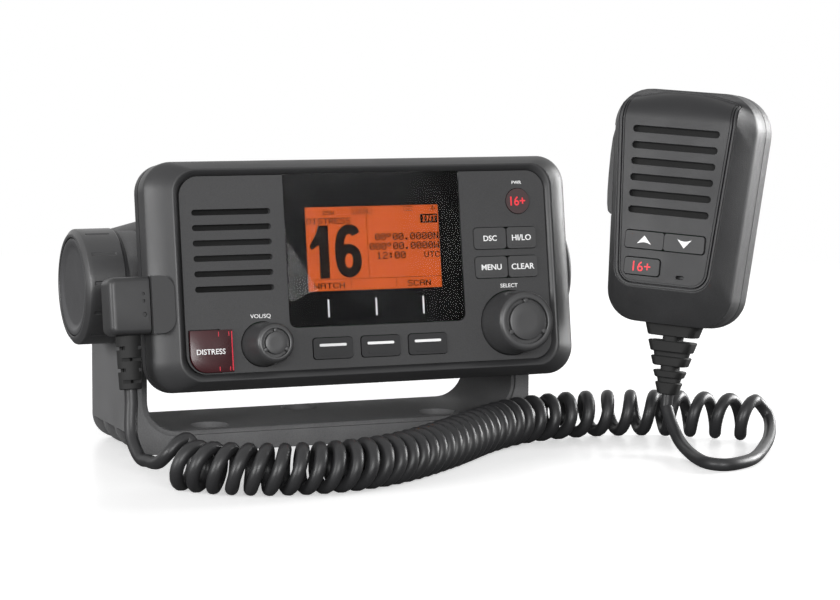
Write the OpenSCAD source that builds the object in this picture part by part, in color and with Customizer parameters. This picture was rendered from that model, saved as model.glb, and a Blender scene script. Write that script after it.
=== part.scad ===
// Fixed-mount VHF marine radio on a U-bracket, with a fist microphone on a curly cord.
// Frame: X to the right seen from the front, Y to the back, Z up. The origin is on the
// bracket's underside, straight below the tilt axis. Lengths are in millimetres.

/* [Radio front] */
// Width of the front bezel
bezel_w = 170.8; // [169.6:0.2:171.6]
// Height of the front bezel
bezel_h = 84.9; // [84.3:0.1:85.5]
// Width of the flat front panel
panel_w = 147.4; // [147:0.2:148]
// Height of the flat front panel
panel_h = 72.6; // [72.2:0.2:73.2]
// Depth from the panel's face to the tilt axis
panel_depth = 54; // [53.5:0.5:54.5]
// Travel of a pressed key
key_travel = 0.8; // [0.4:0.1:1.0]
// Gap round each key
key_gap = 0.25; // [0.2:0.05:0.35]

/* [Housing] */
// Width of the body behind the bezel
body_w = 150; // [148:1:150]
// Depth of the body behind the tilt axis
body_back = 62; // [60:1:66]
// Wall thickness of the mouldings
wall = 2.5; // [2:0.1:3]
// Number of cooling fins on the rear cover
fin_count = 13; // [9:2:15]

/* [Bracket] */
// Width across the outside of the arms
bracket_w = 168; // [168:0.5:169]
// Height of the tilt axis above the base
axis_h = 63.7; // [63:0.1:65]
// Thickness of the arms
arm_t = 7.8; // [7.4:0.1:7.8]
// Thickness of the base
base_t = 8.8; // [8:0.2:10]
// Distance between the two front screw holes
screw_spacing = 96; // [90:2:100]
// Diameter of the three screw holes
screw_hole_d = 5.5; // [4.5:0.5:6]
// Angle by which the radio leans back at rest
rest_tilt = 9; // [0:0.5:12]

/* [Knobs] */
// Diameter of the gimbal knobs
gimbal_d = 44; // [42:0.5:45]
// Length of the gimbal knobs
gimbal_len = 15.4; // [15:0.2:16]
// Diameter of the volume knob at its base
volume_d = 16.4; // [15:0.2:17]
// Diameter of the selector knob at its base
selector_d = 24.6; // [23:0.2:25]
// Height of both front knobs above the panel
knob_h = 15; // [13:0.5:15.5]

/* [Handset] */
// Height of the microphone handset
handset_h = 90; // [89:0.5:91]
// Width of the handset near its top
handset_w = 58; // [57.5:0.5:58.5]
// Depth of the handset
handset_deep = 33; // [31:0.5:34]

/* [Cord] */
// Diameter of the cord
cord_d = 4.8; // [4.4:0.1:4.8]
// Outside diameter of the curls
coil_d = 18.8; // [18.4:0.1:19.4]
// Number of curls
curls = 40; // [38:1:41]

/* [Hidden] */

fine = 48;
hair = 0.01;

// ---- Radio frame: origin on the tilt axis, panel facing -Y ----
face_y = -panel_depth;
bezel_r = 11;
panel_r = 7.5;
bezel_back = -41;
flange_back = -36.7;
body_r = 6;
body_top = 25.4;
body_bottom = -34;
panel_t = 3;
board_y = -43.5;
board_t = 1.6;
gasket_t = 0.6;

slot_count = 6;
slot_pitch = 5.65;
slot_top = 23;
slot_left = -69.3;
slot_right = -38.6;
slot_h = 2.2;

window_left = -33.3;
window_right = 38.1;
window_bottom = -20.7;
window_r = 3;
lcd_left = -24.7;
lcd_right = 29.5;
lcd_top = 24.1;
lcd_bottom = -7.4;

pair_left = 42.9;
pair_right = 69.4;
pair_mid = 56.7;
pair_h = 8.6;
dsc_z = 10.4;
menu_z = -0.7;
soft_w = 16.1;
soft_h = 8.3;
soft_z = -28.8;
soft_x = [-16.75, 2.45, 21.65];
power_x = 62.4;
power_z = 24.5;
power_r = 5.1;
volume_x = -44.2;
volume_z = -26.2;
selector_x = 56.9;
selector_z = -22.3;
guard_left = -73.1;
guard_right = -56.6;
guard_top = -19.9;
guard_bottom = -36.2;
pin_x = guard_right - 1.6;
pin_y = face_y + 0.9;
pin_bottom = guard_bottom + 0.2;
pin_top = guard_top - 0.1;

// ---- Bracket frame ----
arm_out = bracket_w / 2;
arm_in = arm_out - arm_t;
arm_front = -16.4;
arm_back = 32;
head_r = 20.8;
bend_r = 12;
screw_front_y = -6.3;
screw_rear_y = 23.5;
recess_d = 15;
pocket_h = 9;
washer_t = 1.2;
stud_r = 4;
thread_gap = 0.05;

// ---- Microphone plug, in the radio frame ----
plug_left = -101.5;
plug_right = -86.3;
plug_front = -53;
plug_back = -41.4;
plug_top = 0.5;
plug_bottom = -20.6;
plug_exit_x = -93.4;
plug_exit_y = -46.8;
plug_exit_z = -40.3;

// ---- Handset pose and its own frame: origin at mid-height of the front face ----
handset_at = [111, -81.5, 94.2];
handset_turn = [-5.6, 2.9, -49];
handset_top = handset_h / 2 + 1;
handset_bottom = 1 - handset_h / 2;
seam_y = 20;
relief_y = 20;
relief_top = handset_bottom;
relief_bottom = -71.5;
grille_count = 6;
grille_pitch = 6.18;
grille_top = 29.9;
talk_bottom = -4;
talk_top = 30.5;
arrow_z = -12.4;
arrow_h = 7;
channel_x = -8.2;
channel_z = -22.6;
handset_board_y = 10;

// ---- Cord route: hand-chosen points, in the bracket's frame ----
cord_r = cord_d / 2;
coil_r = (coil_d - cord_d) / 2;
coil_z = coil_d / 2 + 0.05;
coil_turns = curls - 0.25;
coil_route = [
    [-86, -90], [-76, -102], [-57, -111.5], [-33, -113], [-8, -103.5], [20, -82], [45, -58.5],
    [66, -43.5], [88, -37], [108, -37], [128, -43.5], [144, -55], [158, -69]
];
plug_route = [[-94.4, -56, 16], [-94, -60.5, 10.5], [-93, -64.6, 7.6]];
left_meeting = [-92, -69.2, 7.6];
left_tail = [
    [-91, -73.8, 7.6], [-90.2, -78, 8.8], [-88.2, -81.6, 12.2], [-84.8, -81.8, 15.7],
    [-81, -81, 16.8], [-79.4, -82.8, 14]
];
right_tail = [
    [161.5, -64.8, 15.6], [165.5, -63, 12.5], [167.5, -64.5, 8.5], [165, -70, 5],
    [158, -80.5, 2.9], [150.8, -90.3, 2.4]
];
right_meeting = [148, -94.1, 2.4];
handset_route = [
    [145.2, -97.9, 2.4], [134, -112, 2.4], [125, -120, 2.4], [114, -124, 2.4],
    [109.5, -117, 2.4], [112.5, -101, 2.6], [116, -85, 5], [117.2, -75.5, 11]
];

// ---- Shared shapes ----

// A flat outline drawn in X and Z, cut out of the depth between y0 and y1
module slab(y0, y1) {
    translate([0, y1, 0]) rotate([90, 0, 0]) linear_extrude(y1 - y0) children();
}

// A rectangle with true round corners
module rounded(w, h, r, n = fine) {
    square([w - 2 * r, h], center = true);
    square([w, h - 2 * r], center = true);
    for (sx = [-1, 1])
        for (sz = [-1, 1])
            translate([sx * (w / 2 - r), sz * (h / 2 - r)]) circle(r, $fn = n);
}

// The same rectangle given by its edges
module rounded_between(left, right, bottom, top, r) {
    translate([(left + right) / 2, (bottom + top) / 2])
        rounded(right - left, top - bottom, r);
}

// A slot with half-round ends
module slot(left, right, z, h) {
    translate([left + h / 2, z]) circle(h / 2, $fn = fine);
    translate([right - h / 2, z]) circle(h / 2, $fn = fine);
    translate([left + h / 2, z - h / 2]) square([right - left - h, h]);
}

// A disc or rod along Y between two depths
module rod_y(x, z, r, y0, y1) {
    translate([x, y0, z]) rotate([-90, 0, 0]) cylinder(r = r, h = y1 - y0, $fn = fine);
}

// A disc or rod along X between two places
module rod_x(y, z, r, x0, x1) {
    translate([x0, y, z]) rotate([0, 90, 0]) cylinder(r = r, h = x1 - x0, $fn = fine);
}

module on_radio() {
    translate([0, 0, axis_h]) rotate([-rest_tilt, 0, 0]) children();
}

module on_handset() {
    translate(handset_at) rotate(handset_turn) children();
}

// ---- Bracket ----

// U outline seen from the front, without the rounding of the arm heads
module bracket_outline() {
    difference() {
        union() {
            translate([-arm_out, bend_r]) square([bracket_w, axis_h + head_r - bend_r]);
            rounded_between(-arm_out, arm_out, 0, 3 * bend_r, 10);
        }
        rounded_between(-arm_in, arm_in, base_t, axis_h + 3 * head_r, bend_r);
    }
}

// Side outline of an arm: wide below, with a round head at the tilt axis
module arm_outline() {
    circle(head_r, $fn = 2 * fine);
    polygon([
        [arm_front, -axis_h], [arm_back, -axis_h], [arm_back, -head_r - 4],
        [head_r * 0.9, head_r * 0.436], [0, 0], [arm_front, 12]
    ]);
}

module bracket() {
    color("#4a4b4c")
    difference() {
        intersection() {
            slab(arm_front, arm_back) bracket_outline();
            translate([-arm_out, 0, axis_h]) rotate([90, 0, 90])
                linear_extrude(bracket_w) arm_outline();
        }
        // bevelled inner edge of the front face
        slab(arm_front - 1, arm_front + 1.6) difference() {
            rounded_between(-arm_in - 2, arm_in + 2, base_t - 2, axis_h + 3 * head_r, bend_r + 2);
            rounded_between(-arm_in - hair, arm_in + hair, base_t - hair, axis_h, bend_r);
        }
        rod_x(0, axis_h, stud_r + 0.1, -arm_out - 1, arm_out + 1);
        for (sx = [-1, 1]) {
            screw_place(sx * screw_spacing / 2, screw_front_y);
            for (cell = [0:2])
                bend_pocket(sx, arm_front + 2.4 + cell * 15.4);
        }
        screw_place(0, screw_rear_y);
    }
}

// A screw hole with a round recess from above
module screw_place(x, y) {
    translate([x, y, -1]) cylinder(d = screw_hole_d, h = base_t + 2, $fn = fine);
    translate([x, y, base_t - 4.2]) cylinder(d = recess_d, h = 5, $fn = fine);
}

// One cell between the ribs under a lower corner of the bracket
module bend_pocket(side, y) {
    difference() {
        translate([side > 0 ? arm_out - 18 : -arm_out - 1, y, -1]) cube([19, 12.8, pocket_h + 1]);
        translate([side * (arm_in - bend_r), y - 1, base_t + bend_r])
            rotate([-90, 0, 0]) cylinder(r = bend_r + 4.4, h = 15, $fn = 2 * fine);
    }
}

// ---- Radio shells ----

// One step of the bezel's sloping flank: size less than the full outline, from y back
module bezel_step(less_w, less_h, y) {
    slab(y, bezel_back) rounded(bezel_w - less_w, bezel_h - less_h, bezel_r - less_w / 7.5);
}

module front_bezel() {
    color("#3c3d3e")
    on_radio() difference() {
        union() {
            bezel_step(18.8, 7.5, face_y - 1);
            bezel_step(15.6, 6.3, face_y - 0.2);
            bezel_step(12.4, 5.2, face_y + 0.8);
            bezel_step(9.2, 4, face_y + 2);
            bezel_step(6, 2.7, face_y + 3.4);
            bezel_step(3, 1.4, face_y + 4.9);
            bezel_step(0, 0, face_y + 6.5);
        }
        slab(face_y - 3, face_y - 0.5) rounded(panel_w + 2.2, panel_h + 2.2, panel_r + 0.6);
        slab(face_y - 3, face_y + panel_t) rounded(panel_w + 0.6, panel_h + 0.6, panel_r);
        slab(face_y - 3, bezel_back + 1) rounded(panel_w - 4, panel_h - 4, panel_r - 2);
        socket_block(0);
    }
}

// Block that holds the microphone socket: square to the plug, round towards the panel
module socket_block(grow) {
    left = plug_right + 0.4 - grow;
    right = -77.4 + grow;
    low = plug_bottom - grow;
    high = plug_top + grow;
    slab(plug_front - 1.8 - grow, plug_back + 0.4 + grow) intersection() {
        translate([left, low]) square([right - left, high - low]);
        rounded_between(left - 6, right, low, high, 5.4);
    }
}

module panel_openings() {
    for (i = [0:slot_count - 1])
        slot(slot_left, slot_right, slot_top - i * slot_pitch, slot_h);
    // the display window reaches the panel's top edge
    rounded_between(window_left, window_right, window_bottom, panel_h / 2 + 6, window_r);
    for (z = [dsc_z, menu_z])
        rounded_between(pair_left, pair_right, z - pair_h / 2, z + pair_h / 2, 1.6);
    for (x = soft_x)
        translate([x, soft_z]) rounded(soft_w, soft_h, 1.4);
    translate([power_x, power_z]) circle(power_r, $fn = fine);
    translate([volume_x, volume_z]) circle(volume_d / 2 + 0.3, $fn = fine);
    translate([selector_x, selector_z]) circle(selector_d / 2 + 0.3, $fn = fine);
}

module face_panel() {
    color("#454647")
    on_radio() difference() {
        slab(face_y, face_y + panel_t) rounded(panel_w, panel_h, panel_r);
        slab(face_y - 1, face_y + panel_t + 1) panel_openings();
        // recess of the guarded button, and the hole for the button
        slab(face_y - 1, face_y + 2.2) guard_area(0);
        slab(face_y - 1, face_y + 2.2) hinge_area(0);
        slab(face_y - 1, face_y + panel_t + 1) button_area(2);
        // seats of the cover's hinge pin
        translate([pin_x, pin_y, pin_bottom])
            cylinder(r = 0.63, h = pin_top - pin_bottom, $fn = fine);
    }
}

// Outline of the guarded corner, left of the hinge
module guard_area(inset) {
    intersection() {
        rounded_between(guard_left + inset, guard_right - 3.4 - inset / 3,
                        guard_bottom + inset, guard_top - inset, 1.2);
        rounded(panel_w - 1.6 - 2 * inset, panel_h - 0.6 - 2 * inset, panel_r - 0.8 - inset);
    }
}

module hinge_area(inset) {
    translate([guard_right - 6, guard_bottom + 0.9 + inset])
        square([6.6 - inset, guard_top - guard_bottom - 1.6 - 2 * inset]);
}

module button_area(inset) {
    intersection() {
        guard_area(inset);
        translate([-90, -40]) square([90 + guard_right - 3.6 - inset / 3, 40]);
    }
}

module display_window() {
    color("#101112")
    on_radio() difference() {
        slab(face_y, face_y + panel_t) intersection() {
            rounded_between(window_left + 0.15, window_right - 0.15, window_bottom + 0.15,
                            panel_h / 2 + 6, window_r);
            rounded(panel_w, panel_h, panel_r);
        }
        slab(face_y + 1.6, face_y + panel_t + 1)
            rounded_between(window_left + 3, window_right - 3, window_bottom + 3, panel_h / 2 - 3, 1);
    }
}

module lcd_module() {
    color("#c8693a")
    on_radio() {
        slab(face_y + 2.2, face_y + 4.4)
            rounded_between(lcd_left - 3, lcd_right + 3, lcd_bottom - 3, lcd_top + 3, 0.5);
        slab(face_y + 4.4, face_y + 8.6)
            rounded_between(lcd_left - 4, lcd_right + 4, lcd_bottom - 5, lcd_top + 5, 0.5);
    }
}

// Loudspeaker: basket, magnet and a dished cone, as one turned piece
module speaker() {
    color("#6a6a6c")
    on_radio() translate([-53.1, face_y + 4.4, 9]) rotate([-90, 0, 0])
        rotate_extrude($fn = 2 * fine) polygon([
            [0, 4.4], [6, 3.6], [14.5, 1], [15.6, 0.4], [17, 0], [18.4, 0], [18.4, 1.2],
            [16.5, 1.6], [8.6, 6], [8.6, 10], [0, 10]
        ]);
}

module speaker_cloth() {
    color("#1a1a1a")
    on_radio() slab(face_y + panel_t + 0.2, face_y + panel_t + 0.8)
        rounded_between(-71, -36, -8, 26, 2);
}

module housing_gasket() {
    color("#161616")
    on_radio() slab(bezel_back, bezel_back + gasket_t) difference() {
        rounded(bezel_w - 1.2, bezel_h - 1.2, bezel_r - 0.6);
        rounded(panel_w - 6, body_top - body_bottom - 2, 4);
    }
}

module main_housing() {
    flange = bezel_back + gasket_t;
    color("#38393a")
    on_radio() difference() {
        union() {
            slab(flange, flange_back) rounded(bezel_w, bezel_h, bezel_r);
            slab(flange_back - hair, body_back)
                rounded_between(-body_w / 2, body_w / 2, body_bottom, body_top, body_r);
            // round bosses that the bracket's arms clamp
            for (side = [-1, 1])
                boss(side, 15, body_w / 2 - wall, arm_in - 0.06);
        }
        difference() {
            slab(flange - 1, body_back + 1)
                rounded_between(wall - body_w / 2, body_w / 2 - wall, body_bottom + wall,
                                body_top - wall, body_r - wall);
            // rings that hold the threaded inserts, and pillars for the rear screws
            for (side = [-1, 1])
                boss(side, 9.5, body_w / 2 - 9, body_w / 2);
            screw_bores(4.2, body_back - 18, body_back);
        }
        for (side = [-1, 1])
            boss(side, 6.52, body_w / 2 - 10, arm_in + 1);
        screw_bores(2.05, body_back - 14, body_back + 1);
    }
}

// A disc on the tilt axis, on one side of the radio
module boss(side, r, x0, x1) {
    mirror([side < 0 ? 1 : 0, 0, 0]) rod_x(0, 0, r, x0, x1);
}

module screw_bores(r, y0, y1) {
    for (x = [-1, 1])
        for (z = [body_bottom + 5.4, body_top - 5.4])
            rod_y(x * (body_w / 2 - 5.4), z, r, y0, y1);
}

// Finned cover that closes the back of the housing
module rear_cover() {
    fin_pitch = (body_w - 20) / (fin_count - 1);
    color("#2f3031")
    on_radio() difference() {
        union() {
            slab(body_back, body_back + 4)
                rounded_between(-body_w / 2, body_w / 2, body_bottom, body_top, body_r);
            for (i = [0:fin_count - 1])
                translate([-body_w / 2 + 10 + i * fin_pitch - 0.9, body_back + 4 - hair, -4])
                    cube([1.8, 8, body_top - 4]);
        }
        screw_bores(2.2, body_back - 1, body_back + 5);
        rod_y(-40, -20, 8.05, body_back - 1, body_back + 14);
        rod_y(18, -21, 5.05, body_back - 1, body_back + 14);
        rod_y(40, -21, 5.05, body_back - 1, body_back + 14);
    }
}

module rear_screws() {
    color("#9a9b9c")
    on_radio() for (x = [-1, 1])
        for (z = [body_bottom + 5.4, body_top - 5.4])
            translate([x * (body_w / 2 - 5.4), 0, z]) difference() {
                union() {
                    rod_y(0, 0, 2, body_back - 12, body_back + 4 + hair);
                    rod_y(0, 0, 3.6, body_back + 4, body_back + 6.2);
                }
                translate([0, body_back + 4.8, 0]) rotate([-90, 0, 0]) cylinder(r = 1.6, h = 3, $fn = 6);
            }
}

module main_board() {
    color("#2c5a3a")
    on_radio() {
        difference() {
            translate([-66, -26, -14]) cube([132, 82, board_t]);
            for (x = [-1, 1])
                for (y = [-21, 50])
                    translate([x * 60, y, -15]) cylinder(r = 1.7, h = 4, $fn = fine);
        }
        // power transistor, shield can and relay
        translate([22, 24, -14 + board_t]) cube([34, 26, 7]);
        translate([-40, -12, -14 + board_t]) cube([44, 36, 5]);
        translate([14, -18, -14 + board_t]) cube([18, 14, 9]);
    }
}

module control_board() {
    color("#2c5a3a")
    on_radio() difference() {
        union() {
            slab(board_y, board_y + board_t) rounded(138, 62, 2);
            // dome switches behind the keys
            for (x = soft_x) rod_y(x, soft_z, 2, board_y - 1.2, board_y + hair);
            for (z = [dsc_z, menu_z])
                for (x = [pair_left + 6.8, pair_right - 6.3])
                    rod_y(x, z, 2, board_y - 1.2, board_y + hair);
            rod_y(power_x, power_z, 2, board_y - 1.2, board_y + hair);
            rod_y(-66.5, -28, 2, board_y - 1.2, board_y + hair);
        }
        rod_y(-53.6, 9, 9.4, board_y - 3, board_y + 3);
    }
}

// Two encoder bodies, each with a bushing round its shaft
module rotary_encoders() {
    color("#85868a")
    on_radio() for (c = [[volume_x, volume_z], [selector_x, selector_z]])
        translate([c[0], 0, c[1]]) difference() {
            union() {
                slab(board_y - 5, board_y) square([11, 11], center = true);
                rod_y(0, 0, 4.2, board_y - 8.4, board_y - 5 + hair);
            }
            rod_y(0, 0, 3.05, board_y - 10, board_y - 0.8);
        }
}

module shaft(x, z) {
    color("#b9babc")
    on_radio() translate([x, 0, z]) union() {
        rod_y(0, 0, 3, face_y - 8, board_y - 1);
    }
}

module volume_shaft() { shaft(volume_x, volume_z); }
module selector_shaft() { shaft(selector_x, selector_z); }

// A front knob: tapered body, flat ring, and a groove round its centre disc
module front_knob(x, z, d, ring, bridge) {
    top_r = d / 2 - 1.15;
    groove_r = top_r - ring;
    color("#3a3b3c")
    on_radio() translate([x, face_y + 1, z]) rotate([90, 0, 0]) difference() {
        union() {
            cylinder(r1 = d / 2, r2 = top_r, h = knob_h + 0.3, $fn = 2 * fine);
            translate([0, 0, knob_h + 0.3 - hair])
                cylinder(r1 = top_r, r2 = top_r - 0.7, h = 0.7, $fn = 2 * fine);
        }
        translate([0, 0, knob_h - 1]) difference() {
            cylinder(r = groove_r, h = 3, $fn = 2 * fine);
            translate([0, 0, -1]) cylinder(r = groove_r - bridge, h = 5, $fn = 2 * fine);
            for (a = [90, 210, 330])
                rotate([0, 0, a]) translate([groove_r - bridge / 2, 0, 0])
                    cylinder(r = bridge * 0.75, h = 1.4, $fn = fine);
        }
        // bore that slides on the shaft, with room for the push
        translate([0, 0, -1]) cylinder(r = 3.05, h = 10.5 + key_travel, $fn = fine);
    }
}

module volume_knob() { front_knob(volume_x, volume_z, volume_d, 1.8, 1.1); }
module selector_knob() { front_knob(selector_x, selector_z, selector_d, 2.6, 1.4); }

// ---- Rear connections ----

module antenna_socket() {
    color("#c9cacc")
    on_radio() difference() {
        union() {
            rod_y(-40, -20, 8, body_back - 4, body_back + 20);
            rod_y(-40, -20, 11, body_back + 12.2, body_back + 14.2);
        }
        rod_y(-40, -20, 5.6, body_back + 8, body_back + 21);
    }
}

// Two cable entries: power lead and data lead
module cable_glands() {
    color("#202122")
    on_radio() for (x = [18, 40]) difference() {
        union() {
            rod_y(x, -21, 5, body_back - 4, body_back + 12);
            rod_y(x, -21, 7, body_back + 12.2, body_back + 15);
            rod_y(x, -21, 5, body_back + 12 - hair, body_back + 19);
        }
        rod_y(x, -21, 3, body_back - 5, body_back + 20);
    }
}

module gimbal_inserts() {
    color("#b08d4a")
    on_radio() for (sx = [-1, 1]) difference() {
        boss(sx, 6.5, body_w / 2 - 9, arm_in - 0.1);
        boss(sx, stud_r + thread_gap, 0, arm_out);
    }
}

// ---- Gimbal knobs: washer, grip, face disc and stud ----

module knob_side(side) {
    on_radio() mirror([side < 0 ? 1 : 0, 0, 0]) children();
}

module washer(side) {
    color("#8f9092")
    knob_side(side) difference() {
        rod_x(0, 0, gimbal_d / 2 - 0.6, arm_out + 0.05, arm_out + washer_t);
        rod_x(0, 0, stud_r + thread_gap, arm_out - 1, arm_out + 3);
    }
}

module left_washer() { washer(-1); }
module right_washer() { washer(1); }

module gimbal_knob(side) {
    start = arm_out + washer_t + 0.05;
    color("#2b2c2d")
    knob_side(side) difference() {
        translate([start, 0, 0]) rotate([0, 90, 0]) rotate_extrude($fn = 2 * fine) polygon([
            [0, 0.8], [gimbal_d / 2 - 2.4, 0.8], [gimbal_d / 2 - 2.4, 0], [gimbal_d / 2 - 0.5, 0],
            [gimbal_d / 2, 0.6], [gimbal_d / 2, gimbal_len - 1.6], [gimbal_d / 2 - 2, gimbal_len],
            [gimbal_d / 2 - 3.2, gimbal_len], [gimbal_d / 2 - 3.2, gimbal_len - 1.8], [0, gimbal_len - 1.8]
        ]);
        // finger marks round the rim
        for (a = [0:30:330])
            rotate([a, 0, 0]) translate([start + 3, gimbal_d / 2 - 0.3, -0.6]) cube([9.5, 1, 1.2]);
        rod_x(0, 0, stud_r + 0.02, start - 1, start + gimbal_len - 4.9);
    }
}

module left_gimbal_knob() { gimbal_knob(-1); }
module right_gimbal_knob() { gimbal_knob(1); }

// Dished disc set into the knob's outer face
module knob_disc(side) {
    start = arm_out + washer_t + 0.05 + gimbal_len - 1.8;
    color("#4c4d4f")
    knob_side(side) translate([start, 0, 0]) rotate([0, 90, 0]) rotate_extrude($fn = 2 * fine) polygon([
        [0, 0], [gimbal_d / 2 - 3.5, 0], [gimbal_d / 2 - 3.5, 1.7], [gimbal_d / 2 - 6, 1.5],
        [gimbal_d / 2 - 7, 0.7], [0, 0.9]
    ]);
}

module left_knob_disc() { knob_disc(-1); }
module right_knob_disc() { knob_disc(1); }

module stud(side) {
    start = arm_out + washer_t + 0.05;
    color("#b9babc")
    knob_side(side) rod_x(0, 0, stud_r, body_w / 2 - 6, start + gimbal_len - 5);
}

module left_stud() { stud(-1); }
module right_stud() { stud(1); }

// ---- Keys of the radio ----

// A key cap with a raised bar, and its plunger down to the switch
module key_cap(x, z, w, h, r, bar_w) {
    color("#4b4c4d")
    on_radio() {
        slab(face_y - 0.5, face_y + panel_t)
            translate([x, z]) rounded(w - 2 * key_gap, h - 2 * key_gap, r);
        slab(face_y - 0.75, face_y - 0.5 + hair)
            translate([x, z - h / 2 + 1.7]) rounded(bar_w, 0.8, 0.35);
        rod_y(x, z, 1.5, face_y + panel_t - hair, board_y - 1.2 - key_travel - 0.1);
    }
}

module pair_key(left, right, z) {
    key_cap((left + right) / 2, z, right - left, pair_h, 1.3, (right - left) * 0.62);
}

module dsc_key() { pair_key(pair_left, pair_mid, dsc_z); }
module high_low_key() { pair_key(pair_mid, pair_right, dsc_z); }
module menu_key() { pair_key(pair_left, pair_mid, menu_z); }
module clear_key() { pair_key(pair_mid, pair_right, menu_z); }
module soft_key_1() { key_cap(soft_x[0], soft_z, soft_w, soft_h, 1.3, 9.5); }
module soft_key_2() { key_cap(soft_x[1], soft_z, soft_w, soft_h, 1.3, 9.5); }
module soft_key_3() { key_cap(soft_x[2], soft_z, soft_w, soft_h, 1.3, 9.5); }

module power_key() {
    color("#3a2224")
    on_radio() {
        rod_y(power_x, power_z, power_r - key_gap, face_y - 0.4, face_y + panel_t);
        rod_y(power_x, power_z, 1.5, face_y + panel_t - hair, board_y - 1.2 - key_travel - 0.1);
    }
}

module distress_button() {
    color("#b3201f")
    on_radio() {
        slab(face_y + 1.2, face_y + panel_t + 0.6) button_area(2.3);
        rod_y(-66.5, -28, 1.5, face_y + panel_t + 0.5, board_y - 1.2 - key_travel - 0.3);
    }
}

// Clear red cover that swings on a pin at its right edge
module distress_cover() {
    color("#8e1d1c")
    on_radio() difference() {
        union() {
            slab(face_y - 0.7, face_y + 0.7) {
                guard_area(0.35);
                translate([guard_right - 6, guard_bottom + 1.2])
                    square([6 + pin_x - guard_right, guard_top - guard_bottom - 2.2]);
            }
            translate([pin_x, pin_y, guard_bottom + 1.2])
                cylinder(r = 1.25, h = guard_top - guard_bottom - 2.2, $fn = fine);
        }
        translate([pin_x, pin_y, guard_bottom])
            cylinder(r = 0.66, h = guard_top - guard_bottom, $fn = fine);
    }
}

module distress_pin() {
    color("#b9babc")
    on_radio() translate([pin_x, pin_y, pin_bottom + 0.1])
        cylinder(r = 0.6, h = pin_top - pin_bottom - 0.2, $fn = fine);
}

// ---- Microphone socket, plug and strain relief ----

module mic_socket() {
    color("#3c3d3e")
    on_radio() difference() {
        socket_block(0);
        slab(plug_front + 2.4, plug_back - 2.2)
            rounded_between(plug_right - 1, -78.6, plug_bottom + 3.4, plug_top - 3.4, 1);
    }
}

module mic_plug() {
    color("#454647")
    on_radio() difference() {
        union() {
            slab(plug_front, plug_back)
                rounded_between(plug_left, plug_right, plug_bottom, plug_top, 2.4);
            // tongue that enters the socket
            slab(plug_front + 2.6, plug_back - 2.4)
                rounded_between(plug_right - 1, -79, plug_bottom + 3.6, plug_top - 3.6, 1);
        }
        for (c = [[-88.7, -5.9, 0.55], [-88.6, -8.5, 0.55], [-88.5, -13.4, 0.8]])
            rod_y(c[0], c[1], c[2], plug_front - 1, plug_front + 1.2);
    }
}

// Strain relief under the plug: slots from the sides, and from front and back
module plug_relief() {
    relief_h = plug_bottom - plug_exit_z;
    color("#2b2c2d")
    on_radio() translate([plug_exit_x, plug_exit_y, plug_exit_z]) difference() {
        cylinder(r1 = 4.1, r2 = 4.6, h = relief_h, $fn = fine);
        for (h = [6.4, 14.4])
            for (side = [-1, 1])
                translate([side * 4.9 - 2.5, -6, h]) cube([5, 12, 1.3]);
        for (h = [2.2, 10.2])
            for (side = [-1, 1])
                translate([-6, side * 4.9 - 2.5, h]) cube([12, 5, 1.3]);
    }
}

// ---- Cord ----

function unit(v) = v / norm(v);

// Smooth curve through the listed points, with n steps between each two
function bend(a, b, c, d, t) =
    0.5 * (2 * b + (c - a) * t + (2 * a - 5 * b + 4 * c - d) * t * t
        + (3 * b - a - 3 * c + d) * t * t * t);
function smooth(p, n) = concat(
    [for (i = [0:len(p) - 2])
        for (k = [0:n - 1])
            bend(p[max(i - 1, 0)], p[i], p[i + 1], p[min(i + 2, len(p) - 1)], k / n)],
    [p[len(p) - 1]]);

// The cord never sinks into the floor
function above_floor(p) = [p[0], p[1], max(p[2], cord_r + 0.02)];

// Points of the radio's and the handset's own frames, in the bracket's frame
function radio_point(p) = [
    p[0],
    p[1] * cos(rest_tilt) + p[2] * sin(rest_tilt),
    axis_h - p[1] * sin(rest_tilt) + p[2] * cos(rest_tilt)
];
function turn_x(p, a) = [p[0], p[1] * cos(a) - p[2] * sin(a), p[1] * sin(a) + p[2] * cos(a)];
function turn_y(p, a) = [p[0] * cos(a) + p[2] * sin(a), p[1], p[2] * cos(a) - p[0] * sin(a)];
function turn_z(p, a) = [p[0] * cos(a) - p[1] * sin(a), p[0] * sin(a) + p[1] * cos(a), p[2]];
function handset_point(p) =
    handset_at + turn_z(turn_y(turn_x(p, handset_turn[0]), handset_turn[1]), handset_turn[2]);

// Centre line of the coil, and how far along it each curl stands
coil_line = smooth(coil_route, 12);
coil_last = len(coil_line) - 1;
coil_run = [
    for (i = 0, s = 0; i <= coil_last;
        s = s + (i < coil_last ? norm(coil_line[i + 1] - coil_line[i]) : 0), i = i + 1) s
];
coil_length = coil_run[coil_last];

// The curls lie close on the left and stretch apart to the right
function spread(u) =
    1 + 0.12 * max(0, 1 - u / 0.4) + 0.8 * pow(max(0, (u - 0.48) / 0.52), 0.7);
function share(i) =
    (coil_run[i + 1] - coil_run[i]) / spread((coil_run[i + 1] + coil_run[i]) / 2 / coil_length);
coil_count = [
    for (i = 0, s = 0; i <= coil_last; s = s + (i < coil_last ? share(i) : 0), i = i + 1) s
];
turn_scale = coil_turns / coil_count[coil_last];
coil_x = [for (i = [0:coil_last]) [coil_count[i] * turn_scale, coil_line[i][0]]];
coil_y = [for (i = [0:coil_last]) [coil_count[i] * turn_scale, coil_line[i][1]]];
function coil_centre(t) = [lookup(t, coil_x), lookup(t, coil_y), coil_z];
function coil_ahead(t) = unit(coil_centre(t + 0.3) - coil_centre(t - 0.3));

// The front of each curl rises, the top runs back, and the curls lean a little
function coil_point(t) =
    let (h = coil_ahead(t), b = [-h[1], h[0], 0], a = 180 + 360 * t,
         up = [0, 0, 1] + 0.2 * (1 - t / coil_turns) * h)
    coil_centre(t) + coil_r * (sin(a) * up - cos(a) * b);

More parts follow.
